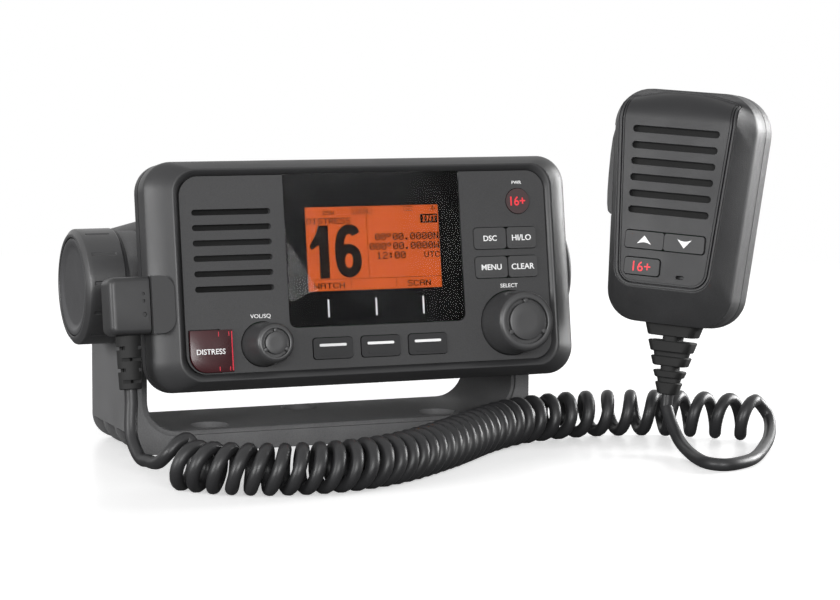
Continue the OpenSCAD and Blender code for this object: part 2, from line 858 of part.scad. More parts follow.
ring_step = 8;
helix = [for (i = [0:round(coil_turns * ring_step)]) coil_point(i / ring_step)];
into_coil = smooth(concat([left_meeting], left_tail, [helix[0], helix[1]]), 2);
out_of_coil = smooth(
    concat([helix[len(helix) - 2], helix[len(helix) - 1]], right_tail, [right_meeting]), 2);
coil_path = [for (p = concat(
    [for (i = [0:len(into_coil) - 4]) into_coil[i]], helix,
    [for (i = [3:len(out_of_coil) - 1]) out_of_coil[i]])) above_floor(p)];

plug_exit = [plug_exit_x, plug_exit_y, plug_exit_z];
plug_path = [for (p = concat(
    [radio_point(plug_exit)],
    smooth(concat([radio_point(plug_exit - [0, 0, cord_d])], plug_route), 4),
    [left_meeting])) above_floor(p)];

handset_exit = [0, relief_y, relief_bottom];
handset_path = [for (p = concat(
    [right_meeting],
    smooth(concat(handset_route, [handset_point(handset_exit - [0, 0, cord_d])]), 4),
    [handset_point(handset_exit)])) above_floor(p)];

// Direction of the path at one of its points, and a side vector carried along it
function heading(p, i, first, last) =
    i == 0 ? first : i == len(p) - 1 ? last : unit(unit(p[i + 1] - p[i]) + unit(p[i] - p[i - 1]));
function square_to(v, t) = unit(v - (v * t) * t);
function sides_of(p, first, last) = [
    for (i = 0, v = square_to([0.3, 0.2, 1], first); i < len(p);
        i = i + 1, v = i < len(p) ? square_to(v, heading(p, i, first, last)) : v) v
];

// One closed tube along the path, square at both ends
module tube(path, sides, first, last) {
    side = sides_of(path, first, last);
    count = len(path);
    points = [
        for (i = [0:count - 1])
            let (t = heading(path, i, first, last), u = side[i], w = cross(t, u))
            for (k = [0:sides - 1])
                path[i] + cord_r * (cos(360 * k / sides) * u + sin(360 * k / sides) * w)
    ];
    walls = [
        for (i = [0:count - 2])
            for (k = [0:sides - 1])
                for (half = [0, 1])
                    let (a = i * sides, n = (k + 1) % sides)
                    half == 0 ? [a + k, a + sides + k, a + sides + n] : [a + k, a + sides + n, a + n]
    ];
    caps = [
        for (k = [1:sides - 2])
            for (end = [0, 1])
                let (z = (count - 1) * sides)
                end == 0 ? [0, k, k + 1] : [z, z + k + 1, z + k]
    ];
    polyhedron(points, concat(walls, caps), convexity = 10);
}

// Least gap between two curls, measured between the rings' centres
near = [
    for (i = [0:len(helix) - 1])
        for (j = [i + 5:min(i + 20, len(helix) - 1)]) norm(helix[i] - helix[j])
];
echo(least_gap_mm = min(near) - cord_d, coil_axis_mm = coil_length, rings = len(coil_path));

module plug_lead() {
    start = unit(radio_point(plug_exit - [0, 0, 1]) - radio_point(plug_exit));
    color("#5a5b5c")
    tube(plug_path, 8, start, unit(left_meeting - plug_route[len(plug_route) - 1]));
}

module curly_cord() {
    color("#4c4d4e")
    tube(coil_path, 6, unit(left_tail[0] - left_meeting),
         unit(right_meeting - right_tail[len(right_tail) - 1]));
}

module handset_lead() {
    end = unit(handset_point(handset_exit) - handset_point(handset_exit - [0, 0, 1]));
    color("#5a5b5c")
    tube(handset_path, 8, unit(handset_route[0] - right_meeting), end);
}

// ---- Handset ----

// Front view of the handset at its widest: broad shoulders, all corners round
module handset_outline(inset) {
    hull() {
        for (sx = [-1, 1]) {
            translate([sx * (handset_w / 2 - 14.4), handset_top - 14.4]) circle(14.4 - inset, $fn = 32);
            translate([sx * (handset_w / 2 - 16), handset_bottom + 12.4]) circle(12.4 - inset, $fn = 32);
        }
    }
}

module handset_layer(inset, y) {
    slab(y, y + 0.1) handset_outline(inset);
}

// Outline of the sloping front between the face plate and the widest line
module slope_layer(top_x, top_z, top_r, low_x, low_z, low_r, y) {
    slab(y, y + 0.1) hull()
        for (sx = [-1, 1]) {
            translate([sx * top_x, top_z]) circle(top_r, $fn = 32);
            translate([sx * low_x, low_z]) circle(low_r, $fn = 32);
        }
}

module handset_front() {
    color("#3f4041")
    on_handset() difference() {
        hull() {
            slope_layer(16, 29, 7.3, 12, -22.9, 7.3, -0.5);
            slope_layer(15.2, 31, 10.8, 12.5, -26.9, 9.2, 3.5);
            handset_layer(0, 10);
            handset_layer(0.2, seam_y - 0.1);
        }
        slab(-2, 2) plate_outline(0.3);
        slab(-2, seam_y + 1) plate_outline(-1.6);
        slab(4.2, seam_y + 1) handset_core();
        talk_window(0.3);
        relief_neck(0.05);
    }
}

// Hollow inside both shells, clear of the walls
module handset_core() {
    polygon([
        [-16, -32], [16, -32], [handset_w / 2 - 7, 0], [handset_w / 2 - 6, 32],
        [14, handset_top - 7], [-14, handset_top - 7], [6 - handset_w / 2, 32], [7 - handset_w / 2, 0]
    ]);
}

module handset_rear() {
    color("#2b2c2d")
    on_handset() difference() {
        hull() {
            handset_layer(0.2, seam_y);
            handset_layer(0.5, seam_y + 8);
            handset_layer(1.8, handset_deep - 2);
            handset_layer(4.4, handset_deep - 0.1);
        }
        slab(seam_y - 1, handset_deep - 4) handset_core();
        rod_y(0, 12, 3.02, handset_deep - 5, handset_deep + 1);
        handset_screw_holes(1.55, handset_deep + 1);
        relief_neck(0.05);
    }
}

module handset_screw_holes(r, back) {
    for (x = [-1, 1]) {
        rod_y(x * 15.5, 30, r, seam_y + 6, back);
        rod_y(x * 12.5, -29, r, seam_y + 6, back);
    }
}

module handset_screws() {
    color("#9a9b9c")
    on_handset() {
        handset_screw_holes(1.5, handset_deep);
        for (x = [-1, 1]) {
            rod_y(x * 15.5, 30, 2.8, handset_deep, handset_deep + 1.2);
            rod_y(x * 12.5, -29, 2.8, handset_deep, handset_deep + 1.2);
        }
    }
}

// Outline of the flat face plate, grown by the given amount
module plate_outline(grow) {
    hull() {
        for (sx = [-1, 1]) {
            translate([sx * 20, 31.6]) circle(1.9 + grow, $fn = 32);
            translate([sx * 12, -22.9]) circle(6 + grow, $fn = 32);
        }
    }
}

module handset_plate() {
    color("#3a3b3c")
    on_handset() difference() {
        slab(0, 2) plate_outline(0);
        slab(-1, 3) {
            for (i = [0:grille_count - 1])
                slot(-17.4 + 0.24 * i, 17.4 - 0.24 * i, grille_top - i * grille_pitch, 2.4);
            rounded_between(-16.2, 16.2, arrow_z - arrow_h / 2, arrow_z + arrow_h / 2, 1.2);
            rounded_between(channel_x - 7.3, channel_x + 7.3, channel_z - 3.4, channel_z + 3.4, 1.2);
            slot(5.7, 8.7, -25.4, 1.2);
        }
    }
}

module handset_speaker() {
    color("#6a6a6c")
    on_handset() translate([0, 2.6, 15]) rotate([-90, 0, 0])
        rotate_extrude($fn = 2 * fine) polygon([
            [0, 3.6], [5, 3], [12.4, 0.8], [13.6, 0], [15.4, 0], [15.4, 1.2],
            [13.6, 1.6], [7.4, 4.6], [7.4, 6.6], [0, 6.6]
        ]);
}

module mic_capsule() {
    color("#9a9b9c")
    on_handset() rod_y(7.2, -25, 1.9, 2.2, 6.2);
}

module handset_board() {
    color("#2c5a3a")
    on_handset() {
        slab(handset_board_y, handset_board_y + 1.4) rounded_between(-15.5, 15.5, -31, 36, 2);
        for (c = [[-8.2, arrow_z], [8, arrow_z], [channel_x, channel_z]])
            rod_y(c[0], c[1], 2, handset_board_y - 1.4, handset_board_y + hair);
    }
}

module hang_up_stud() {
    color("#8f9092")
    on_handset() {
        rod_y(0, 12, 3, handset_deep - 4.6, handset_deep + 4);
        rod_y(0, 12, 7, handset_deep + 4 - hair, handset_deep + 7);
    }
}

// Neck of the strain relief, held between the two shells
module relief_neck(gap) {
    translate([0, 0, relief_top - 1 - gap]) linear_extrude(9 + gap)
        translate([0, relief_y]) rounded(13 + 2 * gap, 9 + 2 * gap, 3);
}

module handset_relief() {
    // [distance below the handset, web across, web deep]; the last two are slots
    parts = [
        [0, 4.8, 0], [4.8, 6.6, 1], [6.6, 10.9, 0], [10.9, 12.7, 2], [12.7, 16.4, 0],
        [16.4, 18.2, 1], [18.2, 21, 0], [21, 22.8, 2], [22.8, relief_top - relief_bottom, 0]
    ];
    color("#2b2c2d")
    on_handset() {
        translate([0, 0, relief_top - hair]) linear_extrude(7.5)
            translate([0, relief_y]) rounded(13, 9, 3);
        for (part = parts) {
            w = 21.4 - 0.25 * (part[0] + part[1]);
            d = 12.4 - 0.08 * (part[0] + part[1]);
            translate([0, relief_y, relief_top - part[1]])
                linear_extrude(part[1] - part[0] + (part[0] > 0 ? hair : 0))
                    rounded(part[2] == 1 ? 6.4 : part[2] == 2 ? w - 1 : w,
                            part[2] == 1 ? d - 1 : part[2] == 2 ? 5 : d, 2.4);
        }
    }
}

// ---- Keys of the handset ----

module talk_window(gap) {
    translate([-handset_w / 2 - 4, 8.6 - gap, talk_bottom - gap])
        cube([12.8, 9.6 + 2 * gap, talk_top - talk_bottom + 2 * gap]);
}

// Press-to-talk bar on the left side, flush with the widest line
module talk_key() {
    color("#2f3031")
    on_handset() slab(8.6, 18.2) polygon([
        [-handset_w / 2 - 0.2, talk_top], [0.4 - handset_w / 2, talk_bottom],
        [8.3 - handset_w / 2, talk_bottom], [8.3 - handset_w / 2, talk_top]
    ]);
}

module talk_switch() {
    color("#85868a")
    on_handset() {
        translate([-18.4, 11.4, 8]) cube([5.6, 3.4, 10]);
        translate([-19.5, 12.2, 11]) cube([1.4, 1.6, 4]);
    }
}

module arrow_key(left, right) {
    color("#4b4c4d")
    on_handset() {
        slab(-0.8, 2.8)
            rounded_between(left, right, arrow_z - arrow_h / 2 + key_gap, arrow_z + arrow_h / 2 - key_gap, 1);
        rod_y((left + right) / 2, arrow_z, 1.4, 2.8 - hair, handset_board_y - 1.4 - key_travel - 0.2);
    }
}

module up_key() { arrow_key(-16.2 + key_gap, -0.3 - key_gap / 2); }
module down_key() { arrow_key(-0.3 + key_gap / 2, 16.2 - key_gap); }

module handset_channel_key() {
    color("#4b4c4d")
    on_handset() {
        slab(-0.8, 2.8)
            rounded_between(channel_x - 7.3 + key_gap, channel_x + 7.3 - key_gap,
                            channel_z - 3.4 + key_gap, channel_z + 3.4 - key_gap, 1);
        rod_y(channel_x, channel_z, 1.4, 2.8 - hair, handset_board_y - 1.4 - key_travel - 0.2);
    }
}

// ---- Which pieces are drawn ----

bracket();
front_bezel();
face_panel();
display_window();
lcd_module();
speaker();
speaker_cloth();
housing_gasket();
main_housing();
rear_cover();
rear_screws();
main_board();
control_board();
rotary_encoders();
antenna_socket();
cable_glands();
gimbal_inserts();
mic_socket();
left_washer();
right_washer();
left_gimbal_knob();
right_gimbal_knob();
left_knob_disc();
right_knob_disc();
left_stud();
right_stud();
volume_shaft();
volume_knob();
selector_shaft();
selector_knob();
power_key();
dsc_key();
high_low_key();
menu_key();
clear_key();
soft_key_1();
soft_key_2();
soft_key_3();
distress_button();
distress_cover();
distress_pin();
mic_plug();
plug_relief();
plug_lead();
curly_cord();
handset_lead();
handset_relief();
handset_front();
handset_rear();
handset_plate();
handset_speaker();
mic_capsule();
handset_board();
handset_screws();
hang_up_stud();
talk_switch();
talk_key();
up_key();
down_key();
handset_channel_key();
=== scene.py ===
import math

import bmesh
import bpy
from mathutils import Matrix, Vector
from mathutils.geometry import tessellate_polygon


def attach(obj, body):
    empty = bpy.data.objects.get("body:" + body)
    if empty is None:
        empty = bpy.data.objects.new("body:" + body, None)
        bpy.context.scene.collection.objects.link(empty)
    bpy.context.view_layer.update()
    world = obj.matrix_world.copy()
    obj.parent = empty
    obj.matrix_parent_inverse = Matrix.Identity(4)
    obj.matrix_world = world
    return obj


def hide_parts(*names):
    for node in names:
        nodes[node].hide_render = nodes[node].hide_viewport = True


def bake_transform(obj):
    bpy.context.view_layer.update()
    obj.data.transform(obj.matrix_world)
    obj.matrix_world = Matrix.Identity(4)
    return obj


# Fixed-mount VHF marine radio on its U-bracket, with its handset on a curly cord.
# Lengths are written in millimetres in the same frames as the CAD source, and scaled by MM.

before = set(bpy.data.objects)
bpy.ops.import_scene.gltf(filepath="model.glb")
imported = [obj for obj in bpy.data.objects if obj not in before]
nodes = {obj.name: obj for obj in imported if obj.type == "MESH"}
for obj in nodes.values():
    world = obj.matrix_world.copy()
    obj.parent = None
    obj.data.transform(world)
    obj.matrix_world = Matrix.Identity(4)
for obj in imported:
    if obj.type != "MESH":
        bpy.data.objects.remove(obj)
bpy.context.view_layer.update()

MM = 0.001
AXIS_H = 63.7
REST_TILT = 9.0
FACE_Y = -54.0

RADIO = (
    Matrix.Translation((0, 0, AXIS_H * MM))
    @ Matrix.Rotation(math.radians(-REST_TILT), 4, "X")
)
HANDSET_AT = Vector((111.0, -81.5, 94.2)) * MM
HANDSET_TURN = -49.0
HANDSET_LEAN = 2.9
HANDSET_TIP = -5.6
HANDSET = (
    Matrix.Translation(HANDSET_AT)
    @ Matrix.Rotation(math.radians(HANDSET_TURN), 4, "Z")
    @ Matrix.Rotation(math.radians(HANDSET_LEAN), 4, "Y")
    @ Matrix.Rotation(math.radians(HANDSET_TIP), 4, "X")
)
HERE = Matrix.Identity(4)


def new_object(name, data):
    """An object at the origin of the scene."""
    made = bpy.data.objects.new(name, data)
    bpy.context.scene.collection.objects.link(made)
    return made


def new_mesh(name, bm):
    """A mesh made of a bmesh, which is used up."""
    mesh = bpy.data.meshes.new(name)
    bm.to_mesh(mesh)
    bm.free()
    return mesh


# ---- Camera, where the photograph was taken from ----

CAMERA_AT = Vector((-358.63, -942.58, 167.47)) * MM
CAMERA_RIGHT = Vector((0.92025, -0.39126, 0.00744)).normalized()
CAMERA_AHEAD = Vector((0.38963, 0.91431, -0.11061)).normalized()
CAMERA_UP = CAMERA_RIGHT.cross(CAMERA_AHEAD)
SENSOR_WIDTH = 36.0
LENS = 109.9
SEES_AS_FAR_AS = 20.0

camera_data = bpy.data.cameras.new("camera")
camera_data.sensor_width = SENSOR_WIDTH
camera_data.lens = LENS
camera_data.clip_end = SEES_AS_FAR_AS
camera = new_object("camera", camera_data)
camera.matrix_world = Matrix.Translation(CAMERA_AT) @ Matrix((
    (CAMERA_RIGHT.x, CAMERA_UP.x, -CAMERA_AHEAD.x, 0),
    (CAMERA_RIGHT.y, CAMERA_UP.y, -CAMERA_AHEAD.y, 0),
    (CAMERA_RIGHT.z, CAMERA_UP.z, -CAMERA_AHEAD.z, 0),
    (0, 0, 0, 1),
))
bpy.context.scene.camera = camera
bpy.context.scene.view_settings.view_transform = "Standard"


# ---- Materials ----

NOISE_LOW = 0.3
NOISE_HIGH = 0.7
NOISE_ROUGH = 0.6
CLOUD_SCALE = 55.0
GRAIN_SHARE = 0.6
SHEEN_CHANGE = 0.05
CELL_SCALE = 5200.0
CELL_DEPTH = 0.000004
LIT_CLOUD_SCALE = 40.0
LIT_DIMMEST = 0.9


def material(name):
    """A node material with its shader and the object's own coordinates."""
    made = bpy.data.materials.new(name)
    made.use_nodes = True
    tree = made.node_tree
    shader = tree.nodes["Principled BSDF"]
    where = tree.nodes.new("ShaderNodeTexCoord")
    return made, tree, shader, where.outputs["Object"]


def fill(tree, made, values, links):
    """Sets a node's inputs, by name or number, to values or to links from other nodes."""
    for name, value in values.items():
        made.inputs[name].default_value = value
    for name, source in links.items():
        tree.links.new(source, made.inputs[name])


def add(tree, kind, values, links, **settings):
    """A new node with its settings, input values and links."""
    made = tree.nodes.new("ShaderNode" + kind)
    for name, value in settings.items():
        setattr(made, name, value)
    fill(tree, made, values, links)
    return made


def noise(tree, where, scale, detail=3.0):
    values = {"Scale": scale, "Detail": detail, "Roughness": NOISE_ROUGH}
    return add(tree, "TexNoise", values, {"Vector": where}).outputs["Fac"]


def spread(tree, value, low, high):
    """Maps the middle of a noise's range to low..high."""
    values = {"From Min": NOISE_LOW, "From Max": NOISE_HIGH, "To Min": low, "To Max": high}
    return add(tree, "MapRange", values, {"Value": value}).outputs["Result"]


def tint(tree, value, dark, light):
    """Mixes two colours by a value from 0 to 1."""
    values = {"A": (*dark, 1), "B": (*light, 1)}
    return add(tree, "Mix", values, {"Factor": value}, data_type="RGBA").outputs["Result"]


def bump(tree, value, height):
    values = {"Strength": 1.0, "Distance": height}
    return add(tree, "Bump", values, {"Height": value}).outputs["Normal"]


def moulded(name, color, rough, grain, depth, tone, metallic=0.0, gloss=0.3):
    """Moulded or cast surface: fine grain, slight cloudiness and uneven gloss."""
    made, tree, shader, where = material(name)
    fine = noise(tree, where, grain, 2.0)
    cloud = noise(tree, where, CLOUD_SCALE, 4.0)
    part = add(tree, "Math", {1: 1 - GRAIN_SHARE}, {0: cloud}, operation="MULTIPLY")
    both = add(
        tree, "Math", {1: GRAIN_SHARE}, {0: fine, 2: part.outputs[0]}, operation="MULTIPLY_ADD")
    dark = [c * (1 - tone) for c in color]
    light = [min(c * (1 + tone), 1) for c in color]
    uneven = spread(tree, both.outputs[0], 0.0, 1.0)
    fill(tree, shader, {"Metallic": metallic, "Specular IOR Level": gloss}, {
        "Base Color": tint(tree, uneven, dark, light),
        "Roughness": spread(tree, cloud, rough - SHEEN_CHANGE, rough + SHEEN_CHANGE),
        "Normal": bump(tree, fine, depth),
    })
    return made


def lit(name, color, strength):
    """Backlit display layer with the faint dot structure of its cells."""
    made, tree, shader, where = material(name)
    cells = add(
        tree, "TexVoronoi", {"Scale": CELL_SCALE, "Randomness": 0.0}, {"Vector": where},
        distance="CHEBYCHEV")
    cloud = spread(tree, noise(tree, where, LIT_CLOUD_SCALE), 0.0, 1.0)
    colored = tint(tree, cloud, [c * LIT_DIMMEST for c in color], color)
    values = {"Emission Strength": strength, "Roughness": 0.4, "Specular IOR Level": 0.05}
    fill(tree, shader, values, {
        "Base Color": colored, "Emission Color": colored,
        "Normal": bump(tree, cells.outputs["Distance"], CELL_DEPTH),
    })
    return made


# Name, colour, roughness, grain scale, grain depth in metres, unevenness of tone
CASE = moulded("case plastic", (0.030, 0.030, 0.031), 0.40, 3800.0, 0.000012, 0.10)
PANEL = moulded("panel plastic", (0.040, 0.040, 0.041), 0.58, 2600.0, 0.00005, 0.22)
SHELL_SKIN = moulded("handset plastic", (0.030, 0.030, 0.031), 0.46, 2600.0, 0.00009, 0.30)
DARK = moulded("dark plastic", (0.016, 0.016, 0.017), 0.46, 3000.0, 0.00003, 0.16)
HOUSING = moulded("housing plastic", (0.022, 0.022, 0.023), 0.50, 2200.0, 0.00005, 0.18)
BRACKET = moulded("bracket plastic", (0.115, 0.115, 0.117), 0.56, 2000.0, 0.00006, 0.22)
DISC = moulded("disc plastic", (0.052, 0.052, 0.054), 0.42, 3000.0, 0.00002, 0.12)
KNOB = moulded("knob plastic", (0.034, 0.034, 0.035), 0.38, 3200.0, 0.00002, 0.12, gloss=0.5)
KEYS = moulded("key rubber", (0.050, 0.050, 0.051), 0.62, 3400.0, 0.00002, 0.10)
POWER = moulded("power rubber", (0.050, 0.030, 0.031), 0.55, 3400.0, 0.00002, 0.12)
CORD = moulded("cord jacket", (0.021, 0.021, 0.022), 0.40, 1800.0, 0.00003, 0.14)
SEAL = moulded("seal rubber", (0.009, 0.009, 0.009), 0.70, 2400.0, 0.00003, 0.12)
MASK = moulded("window print", (0.002, 0.002, 0.0022), 0.6, 900.0, 0.0, 0.05, gloss=0.05)
RED = moulded("red plastic", (0.038, 0.008, 0.010), 0.30, 3000.0, 0.00001, 0.35)
# Bright red painted on as highlights where the distress cover's edges catch the light
RED_HIGHLIGHT_PAINT = moulded("painted red highlight", (0.50, 0.020, 0.040), 0.30, 3000.0, 0.00001, 0.10)
CLOTH = moulded("speaker cloth", (0.008, 0.008, 0.008), 0.85, 2400.0, 0.0002, 0.30)
CONE = moulded("speaker cone", (0.020, 0.020, 0.020), 0.70, 1600.0, 0.00004, 0.20)
COATED = moulded("coated casting", (0.018, 0.018, 0.019), 0.52, 1500.0, 0.00008, 0.20, metallic=0.3)
STEEL = moulded("steel", (0.42, 0.42, 0.43), 0.30, 2600.0, 0.00002, 0.10, metallic=1.0)
NICKEL = moulded("nickel", (0.60, 0.59, 0.56), 0.22, 2600.0, 0.00001, 0.08, metallic=1.0)
BRASS = moulded("brass", (0.55, 0.40, 0.16), 0.30, 2600.0, 0.00001, 0.10, metallic=1.0)
BOARD = moulded("board", (0.012, 0.085, 0.035), 0.42, 1400.0, 0.00003, 0.22)
LEGEND = moulded("white legend", (0.80, 0.80, 0.80), 0.55, 4000.0, 0.000004, 0.04)
SCARLET = moulded("red legend", (0.80, 0.045, 0.060), 0.50, 4000.0, 0.000004, 0.05)
AMBER = lit("display amber", (0.42, 0.070, 0.011), 0.42)
INK = moulded("display ink", (0.006, 0.002, 0.001), 0.60, 4000.0, 0.0, 0.05, gloss=0.02)


# ---- Mesh helpers ----

WELD_WITHIN = 0.000004
ON_AXIS = 0.0005


def finish_piece(name, bm, place, body, skin, replaced=(), sharp=32.0, bevel=0.0, segments=2):
    """Turns a bmesh drawn in millimetres into a piece that rides on a body."""
    bmesh.ops.recalc_face_normals(bm, faces=bm.faces)
    bm.transform(place @ Matrix.Scale(MM, 4))
    mesh = new_mesh(name, bm)
    mesh.materials.append(skin)
    mesh.polygons.foreach_set("use_smooth", [True] * len(mesh.polygons))
    mesh.set_sharp_from_angle(angle=math.radians(sharp))
    piece = new_object(name, mesh)
    if bevel:
        soften(piece, bevel, segments)
    if body:
        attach(piece, body)
    if replaced:
        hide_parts(*replaced)
    return piece


def soften(piece, width, segments, angle=38.0):
    """Rounds the piece's hard edges."""
    edge = piece.modifiers.new("edges", "BEVEL")
    edge.width = width * MM
    edge.segments = segments
    edge.limit_method = "ANGLE"
    edge.angle_limit = math.radians(angle)
    edge.harden_normals = True
    edge.miter_outer = "MITER_ARC"


def dress(node, skin, width, segments):
    """Gives a CAD node its material, and rounds its edges."""
    piece = nodes[node]
    piece.data.materials.clear()
    piece.data.materials.append(skin)
    piece.data.polygons.foreach_set("use_smooth", [True] * len(piece.data.polygons))
    normals = piece.data.attributes.get("custom_normal")
    if normals:
        piece.data.attributes.remove(normals)
    weld = piece.modifiers.new("weld", "WELD")
    weld.merge_threshold = WELD_WITHIN
    if width:
        soften(piece, width, segments)


def rounded(w, h, r, cx=0.0, cz=0.0, n=9):
    """A rectangle with round corners, as (x, z) points."""
    r = min(r, w / 2 - 0.001, h / 2 - 0.001)
    points = []
    for sx, sz, start in ((1, 1, 0), (-1, 1, 90), (-1, -1, 180), (1, -1, 270)):
        for k in range(n + 1):
            a = math.radians(start + 90 * k / n)
            x = cx + sx * (w / 2 - r) + r * math.cos(a)
            z = cz + sz * (h / 2 - r) + r * math.sin(a)
            points.append((x, z))
    return points


def between(left, right, bottom, top, r, n=9):
    return rounded(right - left, top - bottom, r, (left + right) / 2, (bottom + top) / 2, n)


def ring(bm, outline, y):
    return [bm.verts.new((x, y, z)) for x, z in outline]


def skin_rings(bm, rings, cap_first=True, cap_last=True):
    """Closed walls between rings of equal count, with flat caps if asked for."""
    for first, second in zip(rings, rings[1:]):
        count = len(first)
        for k in range(count):
            n = (k + 1) % count
            bm.faces.new((first[k], first[n], second[n], second[k]))
    if cap_first:
        bm.faces.new(rings[0])
    if cap_last:
        bm.faces.new(list(reversed(rings[-1])))


def slab(bm, outline, y0, y1):
    skin_rings(bm, [ring(bm, outline, y0), ring(bm, outline, y1)])


def turned(bm, profile, centre, axis, count=96):
    """A turned shape: profile points are (radius, distance along the axis)."""
    axis = Vector(axis).normalized()
    side = axis.orthogonal().normalized()
    other = axis.cross(side)
    centre = Vector(centre)
    rings = []
    for r, d in profile:
        if r < ON_AXIS:
            rings.append([bm.verts.new(centre + axis * d)])
            continue
        angles = [2 * math.pi * k / count for k in range(count)]
        rings.append([
            bm.verts.new(centre + axis * d + (side * math.cos(a) + other * math.sin(a)) * r)
            for a in angles
        ])
    for first, second in zip(rings, rings[1:]):
        for k in range(count):
            n = (k + 1) % count
            if len(first) == 1 and len(second) == 1:
                continue
            if len(first) == 1:
                bm.faces.new((first[0], second[k], second[n]))
            elif len(second) == 1:
                bm.faces.new((first[k], first[n], second[0]))
            else:
                bm.faces.new((first[k], first[n], second[n], second[k]))


TUBE_TOP = Vector((0.3, 0.2, 1.0))


def tube_frames(path, first, last):
    """A side and a cross direction carried along the path without twist."""
    frames = []
    side = TUBE_TOP
    for i, p in enumerate(path):
        a = path[max(i - 1, 0)]
        b = path[min(i + 1, len(path) - 1)]
        t = (b - a).normalized()
        if i == 0:
            t = first
        if i == len(path) - 1:
            t = last
        side = (side - t * side.dot(t)).normalized()
        frames.append((p, side, t.cross(side)))
    return frames


def sweep(bm, frames, radius, sides=16):
    """A round tube through the frames, with flat ends."""
    rings = []
    for p, side, other in frames:
        angles = [2 * math.pi * k / sides for k in range(sides)]
        rings.append([
            bm.verts.new(p + (side * math.cos(a) + other * math.sin(a)) * radius) for a in angles
        ])
    skin_rings(bm, rings)


def bend(a, b, c, d, t):
    """A point between b and c of the smooth curve through a, b, c and d."""
    return 0.5 * (
        2 * b + (c - a) * t + (2 * a - 5 * b + 4 * c - d) * t * t
        + (3 * b - a - 3 * c + d) * t * t * t
    )


def smooth(points, n):
    """Smooth curve through the points, with n steps between each two."""
    p = [Vector(q) for q in points]
    out = []
    for i in range(len(p) - 1):
        a, d = p[max(i - 1, 0)], p[min(i + 2, len(p) - 1)]
        out += [bend(a, p[i], p[i + 1], d, k / n) for k in range(n)]
    return out + [p[-1]]


# ---- The cord: plug lead, curls and handset lead in one length ----

CORD_D = 4.8
COIL_D = 18.8
CURLS = 40
COIL_R = (COIL_D - CORD_D) / 2
COIL_Z = COIL_D / 2 + 0.05
COIL_TURNS = CURLS - 0.25
COIL_ROUTE = [
    (-86, -90), (-76, -102), (-57, -111.5), (-33, -113), (-8, -103.5), (20, -82), (45, -58.5),
    (66, -43.5), (88, -37), (108, -37), (128, -43.5), (144, -55), (158, -69),
]
PLUG_ROUTE = [(-94.4, -56, 16), (-94, -60.5, 10.5), (-93, -64.6, 7.6)]
LEFT_MEETING = (-92, -69.2, 7.6)
LEFT_TAIL = [
    (-91, -73.8, 7.6), (-90.2, -78, 8.8), (-88.2, -81.6, 12.2), (-84.8, -81.8, 15.7),
    (-81, -81, 16.8), (-79.4, -82.8, 14),
]
RIGHT_TAIL = [
    (161.5, -64.8, 15.6), (165.5, -63, 12.5), (167.5, -64.5, 8.5), (165, -70, 5),
    (158, -80.5, 2.9), (150.8, -90.3, 2.4),
]
RIGHT_MEETING = (148, -94.1, 2.4)
HANDSET_ROUTE = [
    (145.2, -97.9, 2.4), (134, -112, 2.4), (125, -120, 2.4), (114, -124, 2.4),
    (109.5, -117, 2.4), (112.5, -101, 2.6), (116, -85, 5), (117.2, -75.5, 11),
]
PLUG_EXIT = Vector((-93.4, -46.8, -40.3))
HANDSET_EXIT = Vector((0, 20, -71.5))
CURL_POINTS = 20
CURL_LEAN = 0.2
LOOK_AHEAD = 0.3
LIFT = 0.02
ROUTE_STEPS = 12
CORD_STEPS = 6
# More room between the curls near the plug and near the handset: how much, and how far it reaches
PLUG_ROOM = 0.12
PLUG_ROOM_TO = 0.4
HANDSET_ROOM = 0.8
HANDSET_ROOM_FROM = 0.48
HANDSET_ROOM_POWER = 0.7


def lookup(value, table):
    """Linear reading of a table of (key, value) pairs."""
    if value <= table[0][0]:
        return table[0][1]
    for (a, u), (b, v) in zip(table, table[1:]):
        if value <= b:
            return u + (v - u) * (value - a) / (b - a)
    return table[-1][1]


def curl_spread(u):
    """Room from curl to curl, with u from 0 at the plug's end to 1 at the handset's."""
    near_plug = max(0, 1 - u / PLUG_ROOM_TO)
    near_handset = max(0, (u - HANDSET_ROOM_FROM) / (1 - HANDSET_ROOM_FROM))
    return 1 + PLUG_ROOM * near_plug + HANDSET_ROOM * near_handset ** HANDSET_ROOM_POWER


def coil_points():
    """The curls along their route, closer where the spread is small."""
    line = smooth([(x, y, 0) for x, y in COIL_ROUTE], ROUTE_STEPS)
    run = [0.0]
    for a, b in zip(line, line[1:]):
        run.append(run[-1] + (b - a).length)
    count = [0.0]
    for a, b in zip(run, run[1:]):
        count.append(count[-1] + (b - a) / curl_spread((a + b) / 2 / run[-1]))
    scale = COIL_TURNS / count[-1]
    xs = [(c * scale, p.x) for c, p in zip(count, line)]
    ys = [(c * scale, p.y) for c, p in zip(count, line)]

    def centre(t):
        return Vector((lookup(t, xs), lookup(t, ys), COIL_Z))

    points = []
    for i in range(round(COIL_TURNS * CURL_POINTS) + 1):
        t = i / CURL_POINTS
        ahead = (centre(t + LOOK_AHEAD) - centre(t - LOOK_AHEAD)).normalized()
        back = Vector((-ahead.y, ahead.x, 0))
        a = math.pi + 2 * math.pi * t
        up = Vector((0, 0, 1)) + ahead * (CURL_LEAN * (1 - t / COIL_TURNS))
        points.append(centre(t) + (up * math.sin(a) - back * math.cos(a)) * COIL_R)
    return points


def to_mm(place, point):
    return (place @ (Vector(point) * MM)) / MM


